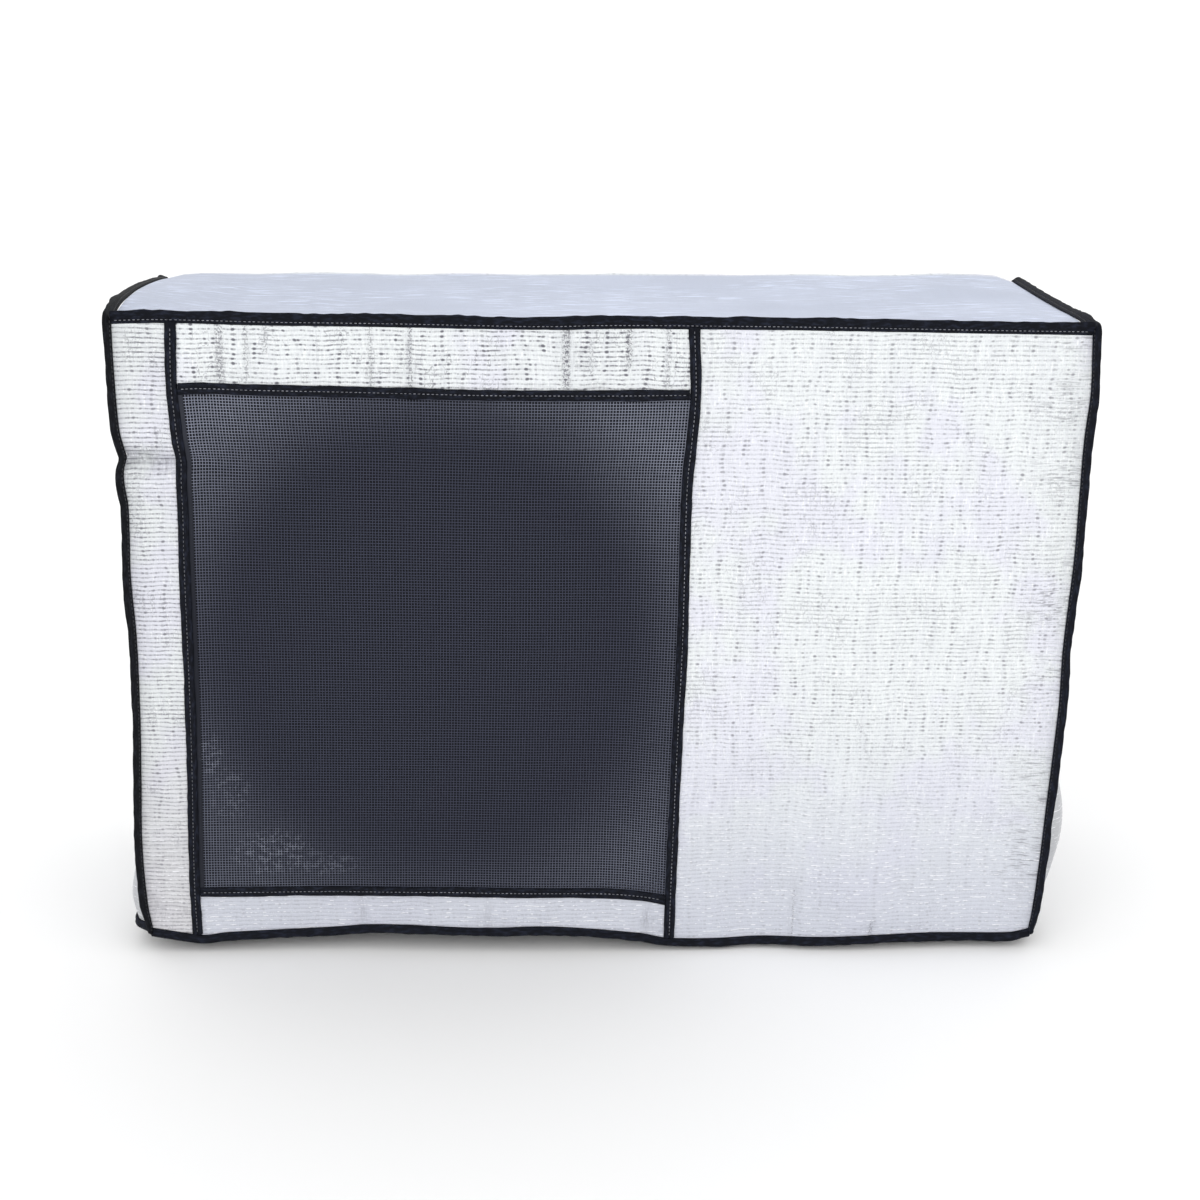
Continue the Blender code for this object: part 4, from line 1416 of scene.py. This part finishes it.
def edge_path(side):
    """Stations of one side's bound seam: up the front, along the top, over the roll, down the back."""
    column = CORNER_L if side < 0 else CORNER_R
    top_lean = LEFT_TOP_LEAN if side < 0 else RIGHT_TOP_LEAN
    forward, up = np.array((0.0, -1.0, 0.0)), np.array((0.0, 0.0, 1.0))
    backward = -forward
    rise = spaced(DROP, TAPE_STEP)
    rows = even_rows(rise + 1)[:-1]
    seam = front_points(np.full(rise, column), rows)
    seam[0, 2] += GAP
    points, outward = [seam], [np.tile(forward, (rise, 1))]
    leans = [np.full(rise, FRONT_LEAN)]
    turns = np.linspace(0.0, math.pi / 2, TURN_STEPS)[:, None]
    out = forward * np.cos(turns) + up * np.sin(turns)
    centre = top_corner(side) + np.array((0.0, TURN_INSET, -TURN_INSET))
    points.append(centre + out * TURN_INSET)
    outward.append(out)
    leans.append(np.full(TURN_STEPS, FRONT_LEAN))
    count = spaced(DEPTH - BACK_ROLL, TAPE_STEP)
    parts = np.linspace(0.0, 1.0, count + 1)[1:-1]
    points.append(side_line(side, (DEPTH - BACK_ROLL) * parts))
    outward.append(np.tile(up, (len(parts), 1)))
    leans.append(FRONT_LEAN + (top_lean - FRONT_LEAN) * eased(parts / LEAN_SETTLES_BY))
    last = side_line(side, DEPTH - BACK_ROLL)[0]
    roll = np.array((side * WIDTH / 2, DEPTH / 2 - BACK_ROLL, last[2] - BACK_ROLL))
    out = up * np.cos(turns) + backward * np.sin(turns)
    points.append(roll + out * BACK_ROLL)
    outward.append(out)
    leans.append(top_lean + (FRONT_LEAN - top_lean) * np.linspace(0.0, 1.0, TURN_STEPS))
    foot = front_points(column, HEM_LINE)[0, 2] + GAP
    down = np.linspace(0.0, 1.0, rise)[1:]
    heights = roll[2] + (foot - roll[2]) * down
    points.append(stacked(side * WIDTH / 2, DEPTH / 2, heights))
    outward.append(np.tile(backward, (len(down), 1)))
    leans.append(np.full(len(down), FRONT_LEAN))
    wide, thick = leaning(side, np.vstack(outward), np.concatenate(leans))
    return rounded_ends(np.vstack(points), wide, thick)


def rounded_ends(points, wide, thick):
    """Lets both lower ends of a path round in to the corner of the hem tape."""
    turns = np.linspace(math.pi / 2, 0.0, END_STEPS, endpoint=False)
    share = (END_LEAST + (END_MOST - END_LEAST) * np.cos(turns))[:, None]
    lower = stacked(0.0, 0.0, -END_DROP * np.sin(turns))
    narrowing = np.linspace(END_MOST, 1.0, END_TAPER + 1)[:-1]
    waist = np.ones(len(points))
    waist[:END_TAPER] = narrowing
    waist[-END_TAPER:] = narrowing[::-1]
    points, wide = points.copy(), wide * waist[:, None]
    ends = []
    for at in (0, -1):
        full = wide[at] / END_MOST
        clear = full * END_CLEAR * (1 - share)
        end = (points[at] + lower + clear, full * share, thick[at] * (0.5 + share / 2))
        ends.append(end)
    head, tail = ends
    return tuple(
        np.vstack([first, middle, last[::-1]])
        for first, middle, last in zip(head, (points, wide, thick), tail)
    )


def front_top_path():
    """Stations of the tape that wraps the upper edge of the front."""
    count = spaced(WIDTH, TAPE_STEP)
    points = front_points(even_columns(count), TOP_LINE)
    points[:, 2] += GAP + SHEET
    wide = np.array((0.0, -math.sin(FRONT_TOP_LEAN), math.cos(FRONT_TOP_LEAN)))
    thick = np.array((0.0, -math.cos(FRONT_TOP_LEAN), -math.sin(FRONT_TOP_LEAN)))
    return points, np.tile(wide, (count, 1)), np.tile(thick, (count, 1))


def flat_path(columns, rows, towards):
    """Stations of a tape that lies on the front cloth, just clear of it."""
    out = front_outs(columns, rows)
    points = front_points(columns, rows) + out * GAP
    towards = np.array(towards)
    wide = towards - out * (out @ towards)[:, None]
    wide /= np.linalg.norm(wide, axis=1, keepdims=True)
    return points, wide, out


def upright_path(column):
    count = spaced(DROP, TAPE_STEP)
    rows = even_rows(count)
    rows[0] = HEM_LINE + SEAM_TAPE_LIFT / (NET_BOTTOM_AT + DROP)
    points, wide, out = flat_path(np.full(count, column), rows, (1.0, 0.0, 0.0))
    points[-1, 2] += SHEET
    return points, wide, out


def level_path(row):
    clear = (FLAT_TAPE_WIDTH / 2 + GAP) / (MID_SEAM_AT - LEFT_SEAM_AT)
    count = spaced(MID_SEAM_AT - LEFT_SEAM_AT, TAPE_STEP)
    columns = np.linspace(SEAM_L + clear, SEAM_M - clear, count)
    return flat_path(columns, np.full(count, row), (0.0, 0.0, 1.0))


def hem_path():
    """Stations of the tape folded over the lower edge, all round, from the front left corner."""
    count = spaced(WIDTH, TAPE_STEP)
    columns = np.linspace(CORNER_R, CORNER_L, count)
    parts = np.linspace(0.0, 1.0, spaced(DEPTH, TAPE_STEP))[1:-1]
    points = np.vstack(
        [
            front_points(even_columns(count), HEM_LINE),
            side_points(1, parts, HEM_LINE),
            top_back_points(columns, 3.0),
            side_points(-1, parts[::-1], HEM_LINE),
        ]
    )
    along = np.roll(points, -1, axis=0) - np.roll(points, 1, axis=0)
    along[:, 2] = 0.0
    along /= np.linalg.norm(along, axis=1, keepdims=True)
    down = np.tile((0.0, 0.0, -1.0), (len(points), 1))
    inward = np.cross(down, along)
    return points + inward * SHEET / 2, down, inward


def stitch_row(name, runs, paleness=1.0):
    """Stitches along stations. Each run gives stations, the place on them and the outward way."""
    tape = bpy.context.scene.cover_tape
    deselect()
    bpy.ops.mesh.primitive_uv_sphere_add(segments=6, ring_count=4, radius=1.0)
    piece = bpy.context.active_object
    piece.name = name
    unit = np.array([vert.co for vert in piece.data.vertices])
    faces = [tuple(polygon.vertices) for polygon in piece.data.polygons]
    size = np.array((tape.stitch_length / 2, 0.00042, 0.00040))
    verts, polygons = [], []
    for points, along_way, width_way, out in runs:
        for place in range(len(points)):
            axes = np.stack([along_way[place], width_way[place], out[place]])
            lying = unit[:, [2, 1, 0]] * size
            base = len(verts) * len(unit)
            verts.append(points[place] + lying @ axes)
            polygons += [tuple(base + corner for corner in face) for face in faces]
    mesh = bpy.data.meshes.new(name)
    mesh.from_pydata(np.vstack(verts).tolist(), [], polygons)
    mesh.update()
    old = piece.data
    piece.data = mesh
    bpy.data.meshes.remove(old)
    act_on(piece)
    bpy.ops.object.mode_set(mode="EDIT")
    bpy.ops.mesh.select_all(action="SELECT")
    bpy.ops.mesh.normals_make_consistent(inside=False)
    bpy.ops.object.mode_set(mode="OBJECT")
    bpy.ops.object.shade_smooth()
    piece.data.materials.append(stitch_finish(name + "_thread", paleness))
    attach(piece, BODY)
    return piece


def stitch_places(path, at_width, at_thick, flip=1.0, margin=0.004, seed=0):
    """Evenly spaced stitch frames on a path's surface."""
    points, wide, thick = path
    line = points + wide * at_width + thick * at_thick * flip
    gaps = np.linalg.norm(np.diff(line, axis=0), axis=1)
    travelled = np.concatenate([[0.0], np.cumsum(gaps)])
    pitch = bpy.context.scene.cover_tape.stitch_pitch
    stops = np.arange(margin, travelled[-1] - margin, pitch)
    stops += np.random.default_rng(seed + 5).uniform(-0.06, 0.06, len(stops)) * pitch

    def at_stops(values):
        return np.stack([np.interp(stops, travelled, values[:, axis]) for axis in range(3)], -1)

    places, width_way, out = at_stops(line), at_stops(wide), at_stops(thick) * flip
    ahead = np.gradient(line, axis=0)
    along_way = at_stops(ahead / np.linalg.norm(ahead, axis=1, keepdims=True))
    out /= np.linalg.norm(out, axis=1, keepdims=True)
    along_way /= np.linalg.norm(along_way, axis=1, keepdims=True)
    width_way = np.cross(out, along_way)
    return places, along_way, width_way, out


# ---------------------------------------------------------------- operators


class COVER_OT_front_cloth(bpy.types.Operator):
    """Adds the four silver panels of the front"""

    bl_idname = "cover.front_cloth"
    bl_label = "Front cloth"

    def execute(self, context):
        cloth = context.scene.cover_cloth
        plain = silver_finish(
            "silver_film_right",
            0.70,
            0.05,
            (330.0, 60.0),
            lines=RIGHT_LINES,
            fading=(310.0, 150.0),
            fade=0.58,
            puckered=(786.0, 834.0),
        )
        narrow = silver_finish("silver_film_upper", 1.14, 0.07, (330.0, 110.0), lines=UPPER_LINES)
        smooth = silver_finish("silver_film_lower", 1.00, 0.18, (330.0, 110.0), lines=LOWER_LINES)
        grey = tuple(cloth.grey_shade)
        crushed = silver_finish(
            "silver_film_left", 0.84, 0.34, (360.0, 60.0), dullness=0.93, fade=0.30, shade=grey
        )
        inside = inside_finish("silver_film_front_inside")
        strip = BUTT / (LEFT_SEAM_AT - LEFT_CORNER)
        window = BUTT / (MID_SEAM_AT - LEFT_SEAM_AT)
        right = BUTT / (RIGHT_CORNER - MID_SEAM_AT)
        below = BUTT / (NET_BOTTOM_AT + DROP)
        above = BUTT / -NET_TOP_AT
        middle = (SEAM_L + window, SEAM_M - window)
        parts = (
            ("front_left_strip", (CORNER_L, SEAM_L - strip), HEM_LINE, TOP_LINE, crushed),
            ("upper_strip", middle, NET_HIGH + above, TOP_LINE, narrow),
            ("lower_strip", middle, HEM_LINE, NET_LOW - below, smooth),
            ("front_right_panel", (SEAM_M + right, CORNER_R), HEM_LINE, TOP_LINE, plain),
        )
        seed = context.scene.cover_stage.seed
        for name, columns, low, high, silver in parts:
            seed += 10
            step = WIDE_COLUMN if silver is plain else NARROW_COLUMN
            front_sheet(name, columns, low, high, seed, silver, inside, step)
        return {"FINISHED"}


class COVER_OT_side_cloth(bpy.types.Operator):
    """Adds the two side panels, with the swells in which they hang"""

    bl_idname = "cover.side_cloth"
    bl_label = "Side cloth"

    def execute(self, context):
        cloth = context.scene.cover_cloth
        # The side panels' film is darker all over and towards the hem: painted shade, as they face away from
        # the light.
        silver = silver_finish(
            "silver_film_side", 0.5, 0.20, (420.0, 120.0), dullness=0.82, shade=cloth.side_shade
        )
        inside = inside_finish("silver_film_side_inside")
        for side, name in ((-1, "side_left_panel"), (1, "side_right_panel")):
            up = spaced(DROP, cloth.strip_pitch / ROWS_A_STRIP)
            across_count = spaced(DEPTH, SIDE_COLUMN)
            piece, step_across, step_up = grid_piece(name + "_cloth", across_count, up)
            shares = step_across / across_count
            part = shares if side > 0 else 1 - shares
            row = even_rows(up + 1)[step_up]
            points = side_points(side, part, row)
            along = step_up * cloth.strip_pitch / ROWS_A_STRIP
            calm = eased(part * DEPTH / SEAM_CALM) * eased((1 - part) * DEPTH / SEAM_CALM)
            calm *= eased(along / SEAM_CALM) * eased((along.max() - along) / SEAM_CALM)
            relief = cloth_relief(part * DEPTH, along, calm, context.scene.cover_stage.seed + side)
            points[:, 0] += side * relief
            lay(piece, points, shares * DEPTH + 0.01, along + 0.06)
            add_body(piece, [name], [silver, inside])
            thicken(piece, cloth.thickness)
        return {"FINISHED"}


class COVER_OT_top_back_cloth(bpy.types.Operator):
    """Adds the one sheet that makes the top, its rolled edge and the back"""

    bl_idname = "cover.top_back_cloth"
    bl_label = "Top and back cloth"

    def execute(self, context):
        cloth = context.scene.cover_cloth
        row_step = cloth.strip_pitch / BACK_ROWS_A_STRIP
        roll_length = BACK_ROLL * math.pi / 2
        lengths = (DEPTH - BACK_ROLL, roll_length, DROP - BACK_ROLL)
        counts = [spaced(length, row_step) for length in lengths]
        stops = [0.0]
        for start, count in enumerate(counts):
            stops += [start + step / count for step in range(1, count + 1)]
        stops = np.array(stops)
        across_count = spaced(WIDTH, TOP_COLUMN)
        piece, step_across, step_up = grid_piece("top_back_cloth", across_count, len(stops) - 1)
        column = CORNER_R * step_across / across_count
        part = stops[step_up]
        points = top_back_points(column, part)
        along = step_up * row_step
        total = (len(stops) - 1) * row_step
        across = points[:, 0]
        beside = np.minimum(across - across.min(), across.max() - across)
        calm = eased(beside / SEAM_CALM) * eased(along / SEAM_CALM)
        calm *= eased((total - along) / SEAM_CALM)
        relief = cloth_relief(across, along, calm, context.scene.cover_stage.seed + 60)
        turn = np.clip(part - 1.0, 0.0, 1.0) * math.pi / 2
        points += stacked(0.0, np.sin(turn), np.cos(turn)) * relief[:, None]
        lay(piece, points, across + WIDTH / 2 + 0.02, along + 0.02)
        blue_until = 20.0 + lengths[0] * 1000
        silver = silver_finish(
            "silver_film_top_back", 0.7, 0.10, (540.0, 840.0), blue_until=blue_until
        )
        inside = inside_finish("silver_film_top_back_inside")
        add_body(piece, ["top_back_panel"], [silver, inside])
        thicken(piece, cloth.thickness)
        return {"FINISHED"}


def net_threads(threads, sway):
    """Points, faces and crowns of flat threads that follow the front's surface."""
    points, faces, crowns = [], [], []
    base = 0
    for index, thread in enumerate(threads):
        steps = len(thread.rows) - 1
        out = front_outs(thread.columns, thread.rows)
        middle = front_points(thread.columns, thread.rows) - out * thread.sunk
        middle += thread.towards * sway[index, : steps + 1, None] * thread.crown
        section = ((-thread.half, 0.0), (0.0, -THREAD_FLAT), (thread.half, 0.0), (0.0, THREAD_FLAT))
        ring = [middle + thread.towards * wide + out * thick for wide, thick in section]
        points.append(np.stack(ring, axis=1).reshape(-1, 3))
        crowns.append(np.full(4 * (steps + 1), thread.crown))
        for step in range(steps):
            near = base + step * 4
            for corner in range(4):
                after = (corner + 1) % 4
                faces.append((near + corner, near + after, near + 4 + after, near + 4 + corner))
        last = base + steps * 4
        faces.append((base + 3, base + 2, base + 1, base))
        faces.append((last, last + 1, last + 2, last + 3))
        base = last + 4
    return np.vstack(points), faces, np.concatenate(crowns)


class COVER_OT_net_window(bpy.types.Operator):
    """Weaves the net window from flat threads, with its own narrow hem"""

    bl_idname = "cover.net_window"
    bl_label = "Net window"

    def execute(self, context):
        net = context.scene.cover_net
        width, height = MID_SEAM_AT - LEFT_SEAM_AT, NET_TOP_AT - NET_BOTTOM_AT
        seed = context.scene.cover_stage.seed
        uprights = spaced(width, net.mesh_pitch)
        levels = spaced(height, net.mesh_pitch)
        half, shade_ribbon_half = net.thread_width / 2, net.shade_ribbon_width / 2
        right, up = np.array((1.0, 0.0, 0.0)), np.array((0.0, 0.0, 1.0))
        rows = NET_HIGH - (np.array(NET_ROW_DROPS) + NET_TOP_AT) / height
        columns = SEAM_L + (np.array(NET_COLUMNS_AT) - LEFT_SEAM_AT) / width
        threads = []
        for index in range(1, uprights):
            column = np.full(rows.shape, SEAM_L + index / uprights)
            threads.append(Thread(column, rows, right, 0.00040, half, 1.0))
        for index in range(1, levels):
            row = np.full(columns.shape, NET_LOW + index / levels)
            # A dark ribbon behind each level thread: painted shade in the holes of the net.
            threads.append(Thread(columns, row, up, 0.00080, shade_ribbon_half, 0.0))
            threads.append(Thread(columns, row, up, 0.00020, half, 1.0))
        hem = np.full(rows.shape, SEAM_L + NET_HEM_AT / width)
        threads.append(Thread(hem, rows, right, -0.0005, NET_HEM_WIDTH / 2, 0.1))
        most = max(len(rows), len(columns))
        sway = np.random.default_rng(seed).uniform(-0.06, 0.06, (len(threads), most))
        points, faces, crowns = net_threads(threads, sway * net.mesh_pitch)
        deselect()
        bpy.ops.mesh.primitive_grid_add(x_subdivisions=2, y_subdivisions=2, size=1.0)
        piece = bpy.context.active_object
        piece.name = "net_window_mesh"
        mesh = bpy.data.meshes.new("net_window_mesh")
        mesh.from_pydata(points.tolist(), [], faces)
        old = piece.data
        piece.data = mesh
        bpy.data.meshes.remove(old)
        mesh.attributes.new(CROWN, "FLOAT", "POINT").data.foreach_set("value", crowns)
        mesh.uv_layers.new(name=CLOTH_UV)
        corner_points = np.empty(len(mesh.loops), np.int32)
        mesh.loops.foreach_get("vertex_index", corner_points)
        uv = (points[:, [0, 2]] - np.array((LEFT_SEAM_AT, NET_BOTTOM_AT)))[corner_points]
        mesh.uv_layers[0].data.foreach_set("uv", uv.astype(np.float32).ravel())
        act_on(piece)
        bpy.ops.object.mode_set(mode="EDIT")
        bpy.ops.mesh.select_all(action="SELECT")
        bpy.ops.mesh.normals_make_consistent(inside=False)
        bpy.ops.object.mode_set(mode="OBJECT")
        bpy.ops.object.shade_smooth_by_angle(angle=math.radians(40))
        add_body(piece, ["net_window"], [net_finish("net_thread")])
        return {"FINISHED"}


class COVER_OT_edge_tapes(bpy.types.Operator):
    """Adds the bound seams round the two side panels"""

    bl_idname = "cover.edge_tapes"
    bl_label = "Edge tapes"

    def execute(self, context):
        for side, name in ((-1, "left_tape"), (1, "right_tape")):
            tint = (1.05, 0.95, 0.75) if side < 0 else (1.0, 1.0, 1.0)
            material = tape_finish(name + "_weave", tint)
            points, wide, thick = edge_path(side)
            swept(name + "_binding", points, wide, thick, edge_outline(), [name], material, seed=side + 3)
        return {"FINISHED"}


class COVER_OT_front_tapes(bpy.types.Operator):
    """Adds the tape along the top of the front and the four tapes that lie flat on it"""

    bl_idname = "cover.front_tapes"
    bl_label = "Front tapes"

    def execute(self, context):
        material = tape_finish("front_tape_weave")
        swept(
            "front_top_binding", *front_top_path(), wrapping_outline(), ["front_top_tape"], material, seed=11
        )
        flat = (
            ("seam_left_tape", upright_path(SEAM_L)),
            ("seam_mid_tape", upright_path(SEAM_M)),
            ("net_bottom_tape", level_path(NET_LOW)),
            ("net_top_tape", level_path(NET_HIGH)),
        )
        for seed, (name, path) in enumerate(flat, 20):
            swept(name + "_binding", *path, flat_outline(), [name], material, seed=seed)
        return {"FINISHED"}


class COVER_OT_hem_tape(bpy.types.Operator):
    """Adds the tape folded over the lower edge"""

    bl_idname = "cover.hem_tape"
    bl_label = "Hem tape"

    def execute(self, context):
        material = tape_finish("hem_tape_weave")
        swept("hem_binding", *hem_path(), hem_outline(), ["hem_tape"], material, True, 40)
        return {"FINISHED"}


class COVER_OT_stitching(bpy.types.Operator):
    """Sews a row of stitches along every tape"""

    bl_idname = "cover.stitching"
    bl_label = "Stitching"

    def execute(self, context):
        edge_at = EDGE_TAPE_ROOT + EDGE_TAPE_WIDTH * EDGE_GROOVE
        edge_face = EDGE_TAPE_THICK / 2 * 0.60 + 0.00012
        for side, name in ((-1, "left_stitching"), (1, "right_stitching")):
            path = edge_path(side)
            runs = [stitch_places(path, edge_at, edge_face, flip, seed=9) for flip in (1.0, -1.0)]
            stitch_row(name, runs, 0.12)
        path = front_top_path()
        wrapped_at = EDGE_TAPE_ROOT - WRAP + (EDGE_TAPE_WIDTH + WRAP) * EDGE_GROOVE
        runs = [stitch_places(path, wrapped_at, edge_face, flip, seed=12) for flip in (1.0, -1.0)]
        stitch_row("front_top_stitching", runs, 0.6)
        flat_face = FLAT_TAPE_THICK * 0.64 + 0.00012
        flat = (
            ("seam_left_stitching", upright_path(SEAM_L)),
            ("seam_mid_stitching", upright_path(SEAM_M)),
            ("net_bottom_stitching", level_path(NET_LOW)),
            ("net_top_stitching", level_path(NET_HIGH)),
        )
        for name, path in flat:
            paleness = 0.40 if name == "seam_left_stitching" else 0.65
            stitch_row(name, [stitch_places(path, 0.0, flat_face, seed=15)], paleness)
        hem_at = GAP + HEM_TAPE_WIDTH * HEM_GROOVE
        hem_face = HEM_TAPE_THICK / 2 * 0.62 + 0.00012
        path = hem_path()
        stitch_row("hem_stitching", [stitch_places(path, hem_at, hem_face, -1.0, seed=18)], 0.12)
        return {"FINISHED"}


class COVER_OT_declare_cloth(bpy.types.Operator):
    """Does nothing to the scene"""

    bl_idname = "cover.declare_cloth"
    bl_label = "Cloth sizes"

    def execute(self, context):
        return {"FINISHED"}


class COVER_OT_stage(bpy.types.Operator):
    """Adds the pale floor, the soft light and the camera"""

    bl_idname = "cover.stage"
    bl_label = "Stage"

    def execute(self, context):
        stage = context.scene.cover_stage
        deselect()
        bpy.ops.mesh.primitive_plane_add(size=80.0, location=(0.0, 20.0, FLOOR_LEVEL))
        floor = context.active_object
        floor.name = "floor"
        floor.data.materials.append(floor_finish("pale_floor"))
        world = bpy.data.worlds.new("surround")
        world.use_nodes = True
        world.node_tree.nodes["Background"].inputs[0].default_value = (1.0, 1.0, 1.0, 1.0)
        world.node_tree.nodes["Background"].inputs[1].default_value = stage.sky
        context.scene.world = world
        for name, turn, energy in (
            ("key", (math.radians(66), 0.0, math.radians(-38)), stage.key),
            ("fill", (math.radians(70), 0.0, math.radians(45)), stage.key * 0.35),
        ):
            bpy.ops.object.light_add(type="SUN", rotation=turn)
            lamp = context.active_object
            lamp.name = name
            lamp.data.energy = energy
            lamp.data.angle = math.radians(35)
        bpy.ops.object.camera_add(location=CAMERA_AT)
        camera = context.active_object
        camera.name = "photo_camera"
        camera.data.lens = CAMERA_LENS
        camera.data.sensor_width = 36.0
        cos_down, sin_down = math.cos(CAMERA_DOWN), math.sin(CAMERA_DOWN)
        ahead = Vector((math.sin(CAMERA_YAW) * cos_down, math.cos(CAMERA_YAW) * cos_down, -sin_down))
        right = Vector((math.cos(CAMERA_YAW), -math.sin(CAMERA_YAW), 0.0))
        up = right.cross(ahead)
        cos_roll, sin_roll = math.cos(CAMERA_ROLL), math.sin(CAMERA_ROLL)
        rolled_right = right * cos_roll + up * sin_roll
        rolled_up = up * cos_roll - right * sin_roll
        turned = Matrix((rolled_right, rolled_up, -ahead)).transposed()
        camera.matrix_world = Matrix.Translation(CAMERA_AT) @ turned.to_4x4()
        context.scene.camera = camera
        context.scene.view_settings.view_transform = "Standard"
        return {"FINISHED"}


class COVER_PT_panel(bpy.types.Panel):
    """Lists the cover's pieces and their settings"""

    bl_idname = "COVER_PT_panel"
    bl_label = "Air conditioner cover"
    bl_space_type = "VIEW_3D"
    bl_region_type = "UI"
    bl_category = "Cover"

    def draw(self, context):
        layout = self.layout
        scene = context.scene
        for group in (scene.cover_cloth, scene.cover_net, scene.cover_tape, scene.cover_stage):
            box = layout.box()
            for name in group.__annotations__:
                box.prop(group, name)
        for operator in OPERATORS:
            layout.operator(operator.bl_idname)


SETTINGS = (
    ("cover_cloth", CoverClothSettings),
    ("cover_net", CoverNetSettings),
    ("cover_tape", CoverTapeSettings),
    ("cover_stage", CoverStageSettings),
)
OPERATORS = (
    COVER_OT_front_cloth,
    COVER_OT_side_cloth,
    COVER_OT_top_back_cloth,
    COVER_OT_net_window,
    COVER_OT_edge_tapes,
    COVER_OT_front_tapes,
    COVER_OT_hem_tape,
    COVER_OT_stitching,
    COVER_OT_declare_cloth,
    COVER_OT_stage,
)


def register():
    for name, group in SETTINGS:
        bpy.utils.register_class(group)
        setattr(bpy.types.Scene, name, PointerProperty(type=group))
    for kind in (*OPERATORS, COVER_PT_panel):
        bpy.utils.register_class(kind)


def unregister():
    for kind in reversed((*OPERATORS, COVER_PT_panel)):
        bpy.utils.unregister_class(kind)
    for name, group in reversed(SETTINGS):
        delattr(bpy.types.Scene, name)
        bpy.utils.unregister_class(group)


def main():
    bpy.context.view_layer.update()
    register()
    for operator in OPERATORS:
        family, action = operator.bl_idname.split(".")
        getattr(getattr(bpy.ops, family), action)()


if __name__ == "__main__":
    main()
